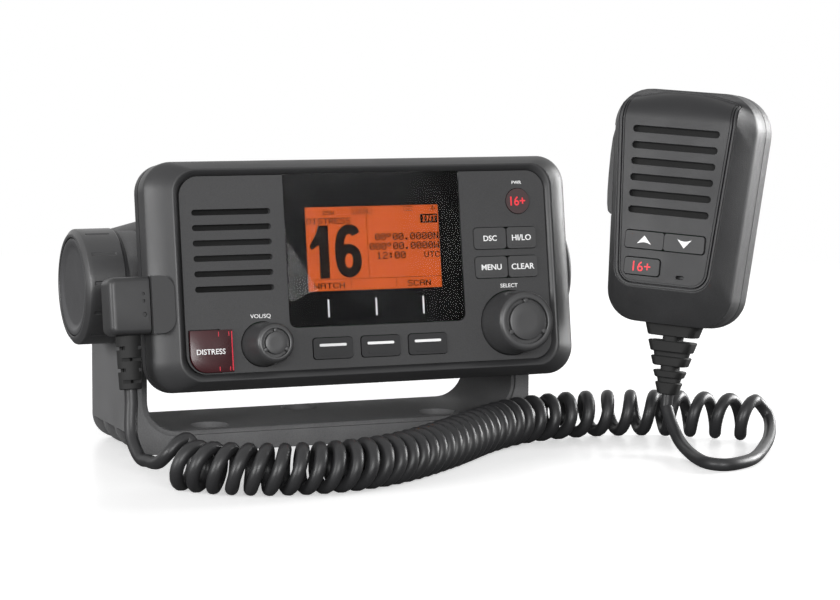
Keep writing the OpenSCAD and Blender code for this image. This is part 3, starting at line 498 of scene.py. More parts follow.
curls = coil_points()
plug_end = to_mm(RADIO, PLUG_EXIT)
handset_end = to_mm(HANDSET, HANDSET_EXIT)
plug_start = to_mm(RADIO, PLUG_EXIT - Vector((0, 0, CORD_D)))
handset_start = to_mm(HANDSET, HANDSET_EXIT - Vector((0, 0, CORD_D)))
into = smooth(
    [plug_start, *PLUG_ROUTE, LEFT_MEETING, *LEFT_TAIL, curls[0], curls[1]], CORD_STEPS)
out_of = smooth(
    [curls[-2], curls[-1], *RIGHT_TAIL, RIGHT_MEETING, *HANDSET_ROUTE, handset_start],
    CORD_STEPS)
# Both curves take in two points of the curls, for their direction: the curls replace that stretch
cord_path = [plug_end, plug_end.lerp(plug_start, 0.5)] + into[:-CORD_STEPS - 1] + curls
cord_path += out_of[CORD_STEPS + 1:]
cord_path += [handset_start.lerp(handset_end, 0.5), handset_end]
cord_path = [Vector((p.x, p.y, max(p.z, CORD_D / 2 + LIFT))) for p in cord_path]
cord_frames = tube_frames(
    cord_path, (plug_start - plug_end).normalized(), (handset_end - handset_start).normalized())
left_join = min(range(len(into)), key=lambda i: (cord_path[i] - Vector(LEFT_MEETING)).length)
right_join = min(
    range(len(into), len(cord_path)),
    key=lambda i: (cord_path[i] - Vector(RIGHT_MEETING)).length)


def cord_stretch(name, first, last, node):
    """One stretch of the cord as a piece, with its centreline and length in metres."""
    part = cord_frames[first:last + 1]
    bm = bmesh.new()
    sweep(bm, part, CORD_D / 2)
    piece = finish_piece(name, bm, HERE, None, CORD, (node,), 60.0)
    line = [p * MM for p, side, other in part]
    length = sum((b - a).length for a, b in zip(line, line[1:]))
    return piece, line, length


plug_lead, plug_line, plug_length = cord_stretch("lead_from_plug", 0, left_join, "plug_lead")
coil, coil_line, coil_length = cord_stretch("curly_lead", left_join, right_join, "curly_cord")
hand_lead, hand_line, hand_length = cord_stretch(
    "lead_to_handset", right_join, len(cord_path) - 1, "handset_lead")
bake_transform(plug_lead)
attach(coil, "bracket")
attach(hand_lead, "bracket")


# ---- CAD nodes shown with their own shape ----

# Material, edge rounding and its steps, and the nodes that get them
DRESSED = [
    (BRACKET, 0.7, 3, ["bracket"]),
    (BRASS, 0.15, 2, ["gimbal_inserts"]),
    (STEEL, 0.0, 2, ["distress_pin"]),
    (STEEL, 0.2, 2, ["rear_screws", "handset_screws"]),
    (STEEL, 0.3, 2, ["left_stud", "right_stud"]),
    (STEEL, 0.5, 3, ["hang_up_stud"]),
    (NICKEL, 0.2, 2, ["rotary_encoders", "volume_shaft", "selector_shaft"]),
    (NICKEL, 0.3, 2, ["antenna_socket"]),
    (CASE, 0.7, 4, ["mic_socket"]),
    (HOUSING, 0.5, 3, ["main_housing"]),
    (COATED, 0.35, 2, ["rear_cover"]),
    (PANEL, 0.22, 2, ["face_panel"]),
    (DARK, 0.1, 2, ["talk_switch"]),
    (DARK, 0.15, 2, ["left_washer", "right_washer", "lcd_module"]),
    (DARK, 0.2, 2, ["mic_capsule"]),
    (DARK, 0.35, 3, ["soft_key_1", "soft_key_2", "soft_key_3"]),
    (KEYS, 0.35, 3, ["dsc_key", "high_low_key", "menu_key", "clear_key"]),
    (KEYS, 0.35, 3, ["up_key", "down_key", "handset_channel_key"]),
    (POWER, 0.5, 3, ["power_key"]),
    (RED, 0.3, 2, ["distress_button"]),
    (SEAL, 0.15, 2, ["housing_gasket"]),
    (SEAL, 0.4, 2, ["cable_glands"]),
    (CONE, 0.2, 2, ["speaker", "handset_speaker"]),
    (CLOTH, 0.0, 2, ["speaker_cloth"]),
    (BOARD, 0.0, 2, ["main_board", "control_board", "handset_board"]),
]
for skin, width, segments, group in DRESSED:
    for name in group:
        dress(name, skin, width, segments)


# ---- Gimbal knobs ----

GRIP_D = 44.0
GRIP_R = GRIP_D / 2
GRIP_START = 85.25
GRIP_LEN = 15.4
GRIP_BORE = 4.1
RECESS = 1.8
AROUND_GRIP = 360
MARK_STEP = 30
MARK_DEPTH = 0.32
MARK_FROM = 3.0
MARK_TO = 12.2


def grip(side, body):
    """A gimbal knob: turned grip with finger marks and a bevelled rim round its recess."""
    profile = [
        (GRIP_BORE, 0.8), (GRIP_R - 2.4, 0.8), (GRIP_R - 2.4, 0.15), (GRIP_R - 2.2, 0.0),
        (GRIP_R - 0.7, 0.0), (GRIP_R - 0.35, 0.12), (GRIP_R, 0.6), (GRIP_R, 2.8), (GRIP_R, 3.1),
        (GRIP_R, 7.6), (GRIP_R, 12.1), (GRIP_R, 12.4), (GRIP_R, 13.6), (GRIP_R - 0.12, 14.1),
        (GRIP_R - 1.7, GRIP_LEN - 0.1), (GRIP_R - 2.0, GRIP_LEN), (GRIP_R - 3.0, GRIP_LEN),
        (GRIP_R - 3.2, GRIP_LEN - 0.2), (GRIP_R - 3.2, GRIP_LEN - RECESS),
        (GRIP_BORE, GRIP_LEN - RECESS),
    ]
    bm = bmesh.new()
    rings = []
    for r, d in profile:
        row = []
        for k in range(AROUND_GRIP):
            a = 2 * math.pi * k / AROUND_GRIP
            off = abs((k + MARK_STEP / 2) % MARK_STEP - MARK_STEP / 2)
            cut = MARK_DEPTH if off <= 1 and MARK_FROM < d < MARK_TO else 0.0
            row.append(bm.verts.new((
                side * (GRIP_START + d), (r - cut) * math.sin(a), (r - cut) * math.cos(a))))
        rings.append(row)
    skin_rings(bm, rings + [rings[0]], False, False)
    name = "left_grip" if side < 0 else "right_grip"
    node = "left_gimbal_knob" if side < 0 else "right_gimbal_knob"
    return finish_piece(name, bm, RADIO, body, KNOB, (node,), 30.0, 0.12, 2)


def grip_disc(side, body):
    """The dished disc in the grip's outer face."""
    base = GRIP_START + GRIP_LEN - RECESS
    profile = [
        (0.0, 0.0), (GRIP_R - 3.55, 0.0), (GRIP_R - 3.55, 1.35), (GRIP_R - 3.8, 1.62),
        (GRIP_R - 4.4, 1.68), (GRIP_R - 5.6, 1.55), (GRIP_R - 6.2, 1.2), (GRIP_R - 6.9, 0.78),
        (GRIP_R - 8, 0.7), (5.0, 0.86), (0.0, 0.9),
    ]
    bm = bmesh.new()
    turned(bm, profile, (side * base, 0, 0), (side, 0, 0), 144)
    name = "left_disc" if side < 0 else "right_disc"
    node = "left_knob_disc" if side < 0 else "right_knob_disc"
    return finish_piece(name, bm, RADIO, body, DISC, (node,), 34.0)


grip(-1, "left_knob")
grip(1, "right_knob")
grip_disc(-1, "left_knob")
grip_disc(1, "right_knob")


# ---- Case and front ----

BEZEL_W = 170.8
BEZEL_H = 84.9
BEZEL_R = 11.0
PANEL_W = 147.4
PANEL_H = 72.6
PANEL_R = 7.5
BEZEL_BACK = -41.0
SEAT_BACK = -51.0
SEAT_FRONT = -53.2

# Width and height taken off the outline, at each depth behind the front face
FLANK = [
    (22.2, 11.1, 0.5), (21.7, 10.7, 0.12), (20.2, 9.1, -0.62), (19.4, 8.2, -0.92),
    (18.6, 7.5, -1.0), (17.8, 6.9, -0.92), (16.9, 6.5, -0.62), (14.0, 5.5, 0.28),
    (11.0, 4.4, 1.25), (8.0, 3.3, 2.35), (5.0, 2.15, 3.55), (2.5, 1.1, 4.75), (0.9, 0.45, 5.65),
    (0.25, 0.15, 6.15), (0.0, 0.0, 6.6), (0.0, 0.0, 12.6), (0.5, 0.5, 13.0),
]

bm = bmesh.new()
hole = rounded(PANEL_W - 4, PANEL_H - 4, PANEL_R - 2, n=12)
seat = rounded(PANEL_W + 0.6, PANEL_H + 0.6, PANEL_R, n=12)
rings = [ring(bm, hole, BEZEL_BACK), ring(bm, hole, SEAT_BACK)]
rings += [ring(bm, seat, SEAT_BACK), ring(bm, seat, SEAT_FRONT)]
for less_w, less_h, y in FLANK:
    outline = rounded(BEZEL_W - less_w, BEZEL_H - less_h, BEZEL_R - less_w / 7.5, n=12)
    rings.append(ring(bm, outline, FACE_Y + y))
skin_rings(bm, rings + [rings[0]], False, False)
finish_piece("bezel", bm, RADIO, "radio", CASE, ("front_bezel",), 32.0)

# ---- Display: clear pane, printed mask, lit layer and its figures ----

WINDOW = (-33.15, 37.95, -20.55, 36.6)
LIT = (-24.7, 29.5, -7.4, 24.1)
MASK_FRONT = FACE_Y + 1.05
MASK_BACK = FACE_Y + 1.8
LAYER_FRONT = FACE_Y + 1.88
LAYER_BACK = FACE_Y + 2.1
INK_Y = FACE_Y + 1.84
WINDOW_CORNER = 3.0
PAST_TOP = 6.0
HAZE_SCALE = 60.0
HAZE = 0.002

PANE, tree, shader, where = material("window pane")
PANE_VALUES = {"Base Color": (0.86, 0.87, 0.88, 1), "Transmission Weight": 1.0, "IOR": 1.12}
haze = spread(tree, noise(tree, where, HAZE_SCALE, 4.0), 0.0, HAZE)
fill(tree, shader, PANE_VALUES, {"Roughness": haze})


def window_outline(grow=0.0):
    """The window keeps its lower corners round and runs up to the panel's top edge."""
    left, right, bottom, top = WINDOW
    corner = WINDOW_CORNER + grow
    outline = between(left - grow, right + grow, bottom - grow, top + PAST_TOP, corner)
    return [(x, min(z, top)) for x, z in outline]


bm = bmesh.new()
skin_rings(bm, [
    ring(bm, window_outline(-0.15), FACE_Y), ring(bm, window_outline(0), FACE_Y + 0.15),
    ring(bm, window_outline(0), FACE_Y + 1),
])
finish_piece("window_pane", bm, RADIO, "radio", PANE, ("display_window",), 50.0)

bm = bmesh.new()
mask = window_outline(-0.05)
left, right, bottom, top = LIT
opening = between(left, right, bottom, top, 0.3, 9)
outer = [ring(bm, mask, MASK_FRONT), ring(bm, mask, MASK_BACK)]
inner = [ring(bm, opening, MASK_FRONT), ring(bm, opening, MASK_BACK)]
skin_rings(bm, [outer[1], outer[0], inner[0], inner[1], outer[1]], False, False)
finish_piece("window_mask", bm, RADIO, "radio", MASK, ("display_window",), 50.0)

bm = bmesh.new()
slab(bm, between(left - 1, right + 1, bottom - 1, top + 1, 0.3), LAYER_FRONT, LAYER_BACK)
finish_piece("display_layer", bm, RADIO, "radio", AMBER, (), 50.0)


# ---- Legends ----

LETTER_HALF = 0.05


def letters(words, size, weight=0.0, stretch=1.0):
    """Flat letter shapes in a mesh: (x, y) on the sheet, centred on the origin."""
    curve = bpy.data.curves.new("letters", "FONT")
    curve.body = words
    curve.size = size
    curve.offset = weight
    curve.align_x = "CENTER"
    curve.align_y = "CENTER"
    curve.resolution_u = 4
    curve.extrude = LETTER_HALF
    holder = new_object("letters", curve)
    graph = bpy.context.evaluated_depsgraph_get()
    mesh = bpy.data.meshes.new_from_object(holder.evaluated_get(graph))
    xs = [v.co.x for v in mesh.vertices]
    ys = [v.co.y for v in mesh.vertices]
    middle_x = (min(xs) + max(xs)) / 2
    middle_y = (min(ys) + max(ys)) / 2
    points = [((v.co.x - middle_x) * stretch, v.co.y - middle_y, v.co.z) for v in mesh.vertices]
    faces = [tuple(f.vertices) for f in mesh.polygons]
    bpy.data.objects.remove(holder)
    bpy.data.curves.remove(curve)
    bpy.data.meshes.remove(mesh)
    return points, faces


def write(bm, words, x, z, y, size, weight=0.0, stretch=1.0):
    """Adds raised letters to a bmesh, facing -Y."""
    points, faces = letters(words, size, weight, stretch)
    made = [bm.verts.new((x + px, y - pz, z + py)) for px, py, pz in points]
    for face in faces:
        bm.faces.new([made[i] for i in face])


def printed(name, bm, body, skin):
    """A thin piece on the radio, such as print, that replaces nothing."""
    finish_piece(name, bm, RADIO, body, skin, (), 50.0)


def plate(bm, left, right, bottom, top, y, r=0.05, thick=0.06):
    slab(bm, between(left, right, bottom, top, r, 3), y - thick / 2, y + thick / 2)


# Five-by-seven dot letters of the display: seven rows of bits, two hexadecimal digits each
DOTS = {
    "A": "0E11111F111111", "C": "0E11101010110E", "D": "1E11111111111E", "E": "1F10101E10101F",
    "H": "1111111F111111", "I": "0E04040404040E", "L": "1010101010101F", "N": "11191915131311",
    "O": "0E11111111110E", "R": "1E11111E141211", "S": "0F10100E01011E", "T": "1F040404040404",
    "U": "1111111111110E", "W": "11111115151B11", "0": "0E11131519110E", "1": "040C040404040E",
    "2": "0E11010608101F", "5": "1F101E0101110E", ".": "00000000000C0C", ":": "000C0C000C0C00",
    "°": "0C12120C000000",
}
INK_HALF = 0.03


def dash(bm, left, right, bottom, top, y):
    outline = [(right, top), (left, top), (left, bottom), (right, bottom)]
    slab(bm, outline, y - INK_HALF, y + INK_HALF)


def dot_words(bm, words, left, top, wide, high, y):
    """Dot letters from left and top on, each dot a little larger than its cell."""
    step = wide / (6 * len(words) - 1)
    row = high / 7
    for i, letter in enumerate(words):
        bits = DOTS[letter]
        for k in range(7):
            value = int(bits[2 * k:2 * k + 2], 16)
            for c in range(5):
                if not value >> (4 - c) & 1:
                    continue
                x = left + (6 * i + c) * step
                z = top - k * row
                dash(bm, x - step * 0.1, x + step * 1.1, z - row * 1.08, z + row * 0.08, y)


def ribbon(bm, line, width, y):
    """A flat stroke of even width along a line of (x, z) points."""
    points = smooth([(x, 0, z) for x, z in line], 8)
    sides = []
    for i, p in enumerate(points):
        t = (points[min(i + 1, len(points) - 1)] - points[max(i - 1, 0)]).normalized()
        across = Vector((-t.z, 0, t.x)) * width / 2
        sides.append((p + across, p - across))
    for (a, b), (c, d) in zip(sides, sides[1:]):
        bm.faces.new([bm.verts.new((v.x, y, v.z)) for v in (a, b, d, c)])


# Words of the display with their left end, top, width and height
DISPLAY_WORDS = [
    ("25W", -17.5, 22.7, 4.7, 1.6), ("LOCAL", -5.2, 23.1, 7.1, 1.7),
    ("DISTRESS", -24.0, 19.9, 17.6, 2.2), ("00°00.0000N", 3.2, 13.65, 26.0, 2.65),
    ("000°00.0000W", 0.8, 10.1, 28.4, 2.65), ("12:00", 3.5, 6.6, 11.8, 2.65),
    ("UTC", 23.0, 6.3, 6.3, 2.2), ("WATCH", -22.2, -4.35, 12.3, 2.1),
    ("SCAN", 15.5, -4.35, 9.5, 2.2),
]
MARK_BOX = (22.1, 29.1, 17.2, 20.6)
ONE_STEM = (-19.5, -15.6, -2.7, 17.2)
ONE_FLAG = [(-23.3, 9.6), (-22.5, 8.0), (-19.5, 9.9), (-19.5, 17.2), (-18.6, 17.2)]
SIX_WIDTH = 3.6
SIX = [
    (-4.6, 13.5), (-5.6, 15.2), (-8.0, 15.5), (-10.3, 13.6), (-11.3, 9.4), (-11.3, 4.4),
    (-10.3, 0.6), (-7.7, -0.9), (-5.2, 0.6), (-4.4, 3.6), (-5.1, 6.8), (-7.5, 8.3), (-9.9, 7.2),
    (-11.2, 4.6),
]
SIGN_WIDTH = 0.2
SIGNS = [
    [(15.5, 22.0), (15.5, 23.6), (18.9, 23.6), (18.9, 22.0), (15.5, 22.0)],
    [(16.3, 22.9), (17.2, 22.3), (18.6, 23.7)],
    [(26.2, 21.8), (27.5, 23.7), (28.8, 21.8)], [(27.5, 23.4), (27.5, 21.8)],
    [(26.7, 22.4), (28.3, 22.4)],
]
DIVIDER = (0.0, 0.16, -2.9, 21.1)
FOOT_INSET = 0.1
FOOT_LINE = (LIT[0] + FOOT_INSET, LIT[1] - FOOT_INSET, -3.2, -3.02)
FOOT_BARS_AT = (-7.3, 11.0)
FOOT_BAR_HALF = 0.09
FOOT_BAR_SPAN = (LIT[2] + 1.0, -3.1)
FRAME_BOX = (-5.7, 2.4, 21.0, 23.7)
HAIR = 0.12

bm = bmesh.new()
for words, left, top, wide, high in DISPLAY_WORDS:
    dot_words(bm, words, left, top, wide, high, INK_Y)
dash(bm, *MARK_BOX, INK_Y)
dash(bm, *ONE_STEM, INK_Y)
skin_rings(bm, [ring(bm, ONE_FLAG, INK_Y - INK_HALF), ring(bm, ONE_FLAG, INK_Y + INK_HALF)])
ribbon(bm, SIX, SIX_WIDTH, INK_Y - INK_HALF)
dash(bm, *DIVIDER, INK_Y)
dash(bm, *FOOT_LINE, INK_Y)
for x in FOOT_BARS_AT:
    dash(bm, x - FOOT_BAR_HALF, x + FOOT_BAR_HALF, *FOOT_BAR_SPAN, INK_Y)
left, right, bottom, top = FRAME_BOX
for z in (bottom, top - 0.1):
    dash(bm, left, right, z, z + HAIR, INK_Y)
for x in (left, right - HAIR):
    dash(bm, x, x + HAIR, bottom, top, INK_Y)
for line in SIGNS:
    for a, b in zip(line, line[1:]):
        ribbon(bm, [a, b], SIGN_WIDTH, INK_Y - INK_HALF)
printed("display_figures", bm, "radio", INK)

bm = bmesh.new()
dot_words(bm, "INT", 22.7, 20.0, 5.9, 2.2, INK_Y - 0.06)
printed("display_inverse", bm, "radio", AMBER)

# Printed words with their middle, size and added weight
PRINT_Y = FACE_Y - 0.01
PRINT = [
    ("PWR", 62.4, 31.7, 1.75, 0.02), ("SELECT", 56.9, -7.9, 2.05, 0.02),
    ("VOL/SQ", -44.6, -15.9, 2.1, 0.0),
]
bm = bmesh.new()
for words, x, z, size, weight in PRINT:
    write(bm, words, x, z, PRINT_Y, size, weight, 1.1)
printed("panel_legends", bm, "radio", LEGEND)

TICKS_AT = (-17.2, 2.0, 21.2)
TICK_HALF = 0.32
TICK_FOOT = -17.2
TICK_TOP = -10.6
bm = bmesh.new()
for x in TICKS_AT:
    plate(bm, x - TICK_HALF, x + TICK_HALF, TICK_FOOT, TICK_TOP, FACE_Y + 1.0, 0.05)
printed("window_ticks", bm, "radio", LEGEND)

CAP_Y = FACE_Y - 0.52
LEGENDS = [
    ("dsc_key", "DSC", 49.8, 10.4, 2.9), ("high_low_key", "HI/LO", 63.05, 10.4, 3.1),
    ("menu_key", "MENU", 49.8, -0.7, 3.0), ("clear_key", "CLEAR", 63.05, -0.7, 3.1),
]
for key, words, x, z, size in LEGENDS:
    bm = bmesh.new()
    write(bm, words, x, z, CAP_Y, size, 0.05, 1.05)
    printed(key + "_legend", bm, key, LEGEND)

BARS_AT = (-16.75, 2.45, 21.65)
BAR_HALF = 5.4
BAR_FOOT = -28.1
BAR_TOP = -27.1
for i, x in enumerate(BARS_AT):
    bm = bmesh.new()
    plate(bm, x - BAR_HALF, x + BAR_HALF, BAR_FOOT, BAR_TOP, CAP_Y, 0.4, 0.1)
    key = f"soft_key_{i + 1}"
    printed(key + "_bar", bm, key, LEGEND)

bm = bmesh.new()
write(bm, "16+", 62.4, 24.5, FACE_Y - 0.42, 4.9, 0.08, 0.95)
printed("power_key_legend", bm, "power_key", SCARLET)

GUARD = (-72.4, -55.9, -35.8, -20.2)
GUARD_CORNER = 6.4
COVER_Y = FACE_Y - 0.7
HINGE_AT = (-58.2, FACE_Y + 0.9, -34.7)


def cover_outline(inset):
    """The cover: square to its neighbours, with one large corner that follows the panel."""
    left, right, bottom, top = GUARD
    points = [(right - inset, top - inset), (left + inset, top - inset)]
    r = GUARD_CORNER - inset
    for k in range(13):
        a = math.radians(180 + 90 * k / 12)
        points.append((left + inset + r + r * math.cos(a), bottom + inset + r + r * math.sin(a)))
    return points + [(right - inset, bottom + inset)]


bm = bmesh.new()
skin_rings(bm, [
    ring(bm, cover_outline(0.35), COVER_Y), ring(bm, cover_outline(0.1), COVER_Y + 0.1),
    ring(bm, cover_outline(0.0), COVER_Y + 0.35), ring(bm, cover_outline(0.0), COVER_Y + 1.4),
])
hinge = [(1.25, 0.0), (1.25, 13.2), (0.7, 13.2), (0.7, 0.0), (1.25, 0.0)]
turned(bm, hinge, HINGE_AT, (0, 0, 1), 32)
finish_piece("cover", bm, RADIO, "distress_cover", RED, ("distress_cover",), 40.0)

# Painted red highlights where the cover's edges catch the light: one long, and two short ones at
# the top and the foot
LONG_HIGHLIGHT = (-56.6, -56.15, -35.2, -20.8)
SHORT_HIGHLIGHTS_AT = (-61.6, -57.6)
SHORT_HIGHLIGHT_SPANS = ((-22.6, -20.9), (-35.2, -33.7))
SHORT_HIGHLIGHT_W = 0.3

bm = bmesh.new()
dash(bm, *LONG_HIGHLIGHT, COVER_Y)
for x in SHORT_HIGHLIGHTS_AT:
    for foot, head in SHORT_HIGHLIGHT_SPANS:
        dash(bm, x, x + SHORT_HIGHLIGHT_W, foot, head, COVER_Y)
printed("cover_painted_highlights", bm, "distress_cover", RED_HIGHLIGHT_PAINT)

bm = bmesh.new()
write(bm, "DISTRESS", -64.6, -28.1, COVER_Y, 2.75, 0.03, 1.0)
printed("cover_legend", bm, "distress_cover", LEGEND)


# ---- Front knobs ----

def front_knob(name, x, z, d, edge, groove):
    """A tapered knob with a flat ring, a groove and a centre disc held by three bridges."""
    tip = d / 2 - 1.15
    out = tip - edge
    inner = out - groove
    profile = [
        (3.1, 0.0), (d / 2 - 0.3, 0.0), (d / 2 - 0.05, 0.2), (d / 2 - 0.04, 0.9),
        (tip + 0.25, 14.0), (tip + 0.1, 14.7), (tip - 0.15, 15.3), (tip - 0.6, 15.75),
        (tip - 1.0, 15.95), (out + 0.3, 16.0), (out + 0.08, 15.9), (out, 15.7), (out, 14.3),
        (inner, 14.3), (inner, 15.7), (inner - 0.08, 15.9), (inner - 0.3, 16.0),
        (inner * 0.5, 15.94), (0.0, 15.92),
    ]
    bm = bmesh.new()
    turned(bm, profile, (x, FACE_Y + 1, z), (0, -1, 0), 128)
    for a in (90, 210, 330):
        c, s = math.cos(math.radians(a)), math.sin(math.radians(a))
        mid = out - groove / 2
        bump_at = (x + c * mid, FACE_Y + 1, z + s * mid)
        r = groove * 0.75
        turned(bm, [(r, 14.2), (r, 15.5), (r * 0.8, 15.8), (0.0, 15.95)], bump_at, (0, -1, 0), 24)
    finish_piece(name + "_cap", bm, RADIO, name, KNOB, (name,), 34.0)


front_knob("volume_knob", -44.2, -26.2, 16.4, 1.8, 1.1)
front_knob("selector_knob", 56.9, -22.3, 24.6, 2.6, 1.4)


# ---- Plug and its relief ----

def carve(piece, cutter_bm, place):
    """Cuts a bmesh drawn in millimetres out of a finished piece."""
    bmesh.ops.recalc_face_normals(cutter_bm, faces=cutter_bm.faces)
    cutter_bm.transform(place @ Matrix.Scale(MM, 4))
    cutter = new_object("cutter", new_mesh("cutter", cutter_bm))
    cut = piece.modifiers.new("cut", "BOOLEAN")
    cut.operation = "DIFFERENCE"
    cut.solver = "EXACT"
    cut.object = cutter
    graph = bpy.context.evaluated_depsgraph_get()
    result = bpy.data.meshes.new_from_object(piece.evaluated_get(graph))
    piece.modifiers.remove(cut)
    piece.data = result
    bpy.data.objects.remove(cutter)


def box(bm, low, high):
    """An upright box between two corners."""
    made = bmesh.ops.create_cube(bm, size=1.0)
    middle = (Vector(low) + Vector(high)) / 2
    size = Vector(high) - Vector(low)
    for v in made["verts"]:
        v.co = Vector((v.co.x * size.x, v.co.y * size.y, v.co.z * size.z)) + middle


PLUG = (-101.5, -86.3, -20.6, 0.5)
PLUG_CORNER = 2.8
# The three pips (x, z, radius) are holes in the plug's front
PIPS = ((-88.7, -5.9, 0.6), (-88.6, -8.5, 0.6), (-88.5, -13.4, 0.9))
PIP_FROM = -54.0
PIP_LONG = 2.0


def plug_outline(inset):
    """The plug from the front: round at its free side, square at the socket."""
    left, right, bottom, top = PLUG
    left, bottom, top = left + inset, bottom + inset, top - inset
    r = PLUG_CORNER - inset
    points = [(right, top)]
    for start, z in ((90, top - r), (180, bottom + r)):
        for k in range(9):
            a = math.radians(start + 90 * k / 8)
            points.append((left + r + r * math.cos(a), z + r * math.sin(a)))
    return points + [(right, bottom)]


bm = bmesh.new()
steps = [(1.9, -53.0), (1.2, -52.8), (0.55, -52.2), (0.15, -51.3), (0.0, -50.2), (0.0, -43.2)]
steps += [(0.2, -42.3), (0.7, -41.7), (1.4, -41.4)]
skin_rings(bm, [ring(bm, plug_outline(inset), y) for inset, y in steps])
plug = finish_piece("plug_body", bm, RADIO, None, CASE, (), 40.0)
bm = bmesh.new()
for x, z, r in PIPS:
    pip = [(0.0, 0.0), (r, 0.0), (r, PIP_LONG), (0.0, PIP_LONG)]
    turned(bm, pip, (x, PIP_FROM, z), (0, 1, 0), 24)
carve(plug, bm, RADIO)
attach(plug, "radio")
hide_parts("mic_plug")

bm = bmesh.new()
profile = [
    (2.45, 20.6), (4.3, 20.6), (4.6, 20.9), (4.1, 40.0), (3.8, 40.3), (2.45, 40.3), (2.45, 20.6),
]
turned(bm, profile, (PLUG_EXIT.x, PLUG_EXIT.y, 0), (0, 0, -1), 64)
boot = finish_piece("plug_boot", bm, RADIO, None, SEAL, (), 36.0)
bm = bmesh.new()
x, y, z = PLUG_EXIT
NOTCH_OUT = 4.9
NOTCH_HALF = 2.5
NOTCH_LONG = 6.0
NOTCH_HIGH = 1.3
for side in (-1, 1):
    near = side * NOTCH_OUT - NOTCH_HALF
    far = side * NOTCH_OUT + NOTCH_HALF
    for h in (6.4, 14.4):
        low, high = z + h, z + h + NOTCH_HIGH
        box(bm, (x + near, y - NOTCH_LONG, low), (x + far, y + NOTCH_LONG, high))
    for h in (2.2, 10.2):
        low, high = z + h, z + h + NOTCH_HIGH
        box(bm, (x - NOTCH_LONG, y + near, low), (x + NOTCH_LONG, y + far, high))
carve(boot, bm, RADIO)
soften(boot, 0.22, 2, 40.0)
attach(boot, "radio")
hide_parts("plug_relief")


# ---- Handset ----

def round_hull(circles, grow, n=10):
    """Outline round four circles (x, z, r) listed counterclockwise, grown by the given amount."""
    normals = []
    count = len(circles)
    for i in range(count):
        ax, az, ar = circles[i]
        bx, bz, br = circles[(i + 1) % count]
        dx, dz = bx - ax, bz - az
        length = math.hypot(dx, dz)
        k = (ar - br) / length
        w = math.sqrt(max(0.0, 1 - k * k))
        normals.append(((dz * w + dx * k) / length, (-dx * w + dz * k) / length))
    points = []
    for i in range(count):
        x, z, r = circles[i]
        r = max(r + grow, 0.3)
        a = math.atan2(normals[i - 1][1], normals[i - 1][0])
        b = math.atan2(normals[i][1], normals[i][0])
        while b < a:
            b += 2 * math.pi
        for k in range(n + 1):
            t = a + (b - a) * k / n
            points.append((x + r * math.cos(t), z + r * math.sin(t)))
    return points


# Corner circles (x, z, radius) of the shell and of the face plate before it is bent
SHELL = [(14.6, 31.6, 14.4), (-14.6, 31.6, 14.4), (-13, -31.6, 12.4), (13, -31.6, 12.4)]
PLATE = [(21, 46.5, 2), (-21, 46.5, 2), (-12, -22.9, 6), (12, -22.9, 6)]
SEAM_Y = 20.0
BEND_Z = 33.5
BEND_R = 12.5
CROWN = 0.0068
CROWN_STOPS = 1.2
NARROWS = 0.065
AROUND = 260


def spaced(outline, count=AROUND):
    """The closed outline as evenly spaced points, from the middle of its lower edge."""
    low = min(z for x, z in outline)
    start = max(
        (i for i, p in enumerate(outline) if p[1] < low + 0.01), key=lambda i: -outline[i][0])
    turned_round = [(0.0, low)] + outline[start + 1:] + outline[:start + 1] + [(0.0, low)]
    run = [0.0]
    for a, b in zip(turned_round, turned_round[1:]):
        run.append(run[-1] + math.dist(a, b))
    xs = list(zip(run, [p[0] for p in turned_round]))
    zs = list(zip(run, [p[1] for p in turned_round]))
    steps = [run[-1] * k / count for k in range(count)]
    return [(lookup(d, xs), lookup(d, zs)) for d in steps]


def bent(x, y, z):
    """Rolls the flat face plate back over the top of the handset."""
    if z <= BEND_Z:
        return Vector((x, y, z))
    t = (z - BEND_Z) / BEND_R
    r = BEND_R - y
    crown = CROWN * x * x * math.sin(min(t, CROWN_STOPS)) ** 2
    return Vector((
        x * (1 - NARROWS * t), BEND_R - r * math.cos(t), BEND_Z + r * math.sin(t) - crown))


def plate_points(grow, y):
    return [bent(x, y, z) for x, z in spaced(round_hull(PLATE, grow))]


def shell_points(inset, y):
    return [Vector((x, y, z)) for x, z in spaced(round_hull(SHELL, -inset))]


def add_ring(bm, points):
    return [bm.verts.new(p) for p in points]


# The plate's seat and the two ridges round it: how far out, and how deep
PLATE_SEAT = [
    (-1.6, 4.5), (-1.6, 2.05), (0.3, 2.05), (0.3, 0.25), (0.42, 0.02), (0.65, -0.1), (1.1, -0.1),
    (1.3, 0.05), (1.34, 0.4), (1.62, 0.4), (1.7, 0.1),
]
# The shell's side, from its crease back to the seam and round inside: inset and depth
FRONT_SIDE = [
    (-0.1, 11.2), (-0.25, 14.0), (-0.3, 19.6), (-0.15, SEAM_Y - 0.08), (3.0, SEAM_Y - 0.1),
    (3.0, 12.0),
]
REAR_SIDE = [
    (3.0, 20.04), (-0.15, 20.04), (-0.32, 20.2), (-0.38, 22.0), (-0.25, 25.0), (0.05, 27.4),
    (0.6, 29.5), (1.4, 31.0), (2.6, 32.1), (4.1, 32.75), (6.2, 33.0), (9.6, 33.05),
]
SLOPE_STEPS = 9
SLOPE_SAG = 0.40
# Boxes cut out of the front shell, for the talk bar and for the strain relief
SHELL_CUTS = [((-34, 8.3, -4.3), (-20.4, 18.5, 30.8)), ((-6.6, 19.4, -50), (6.6, 21, -40))]

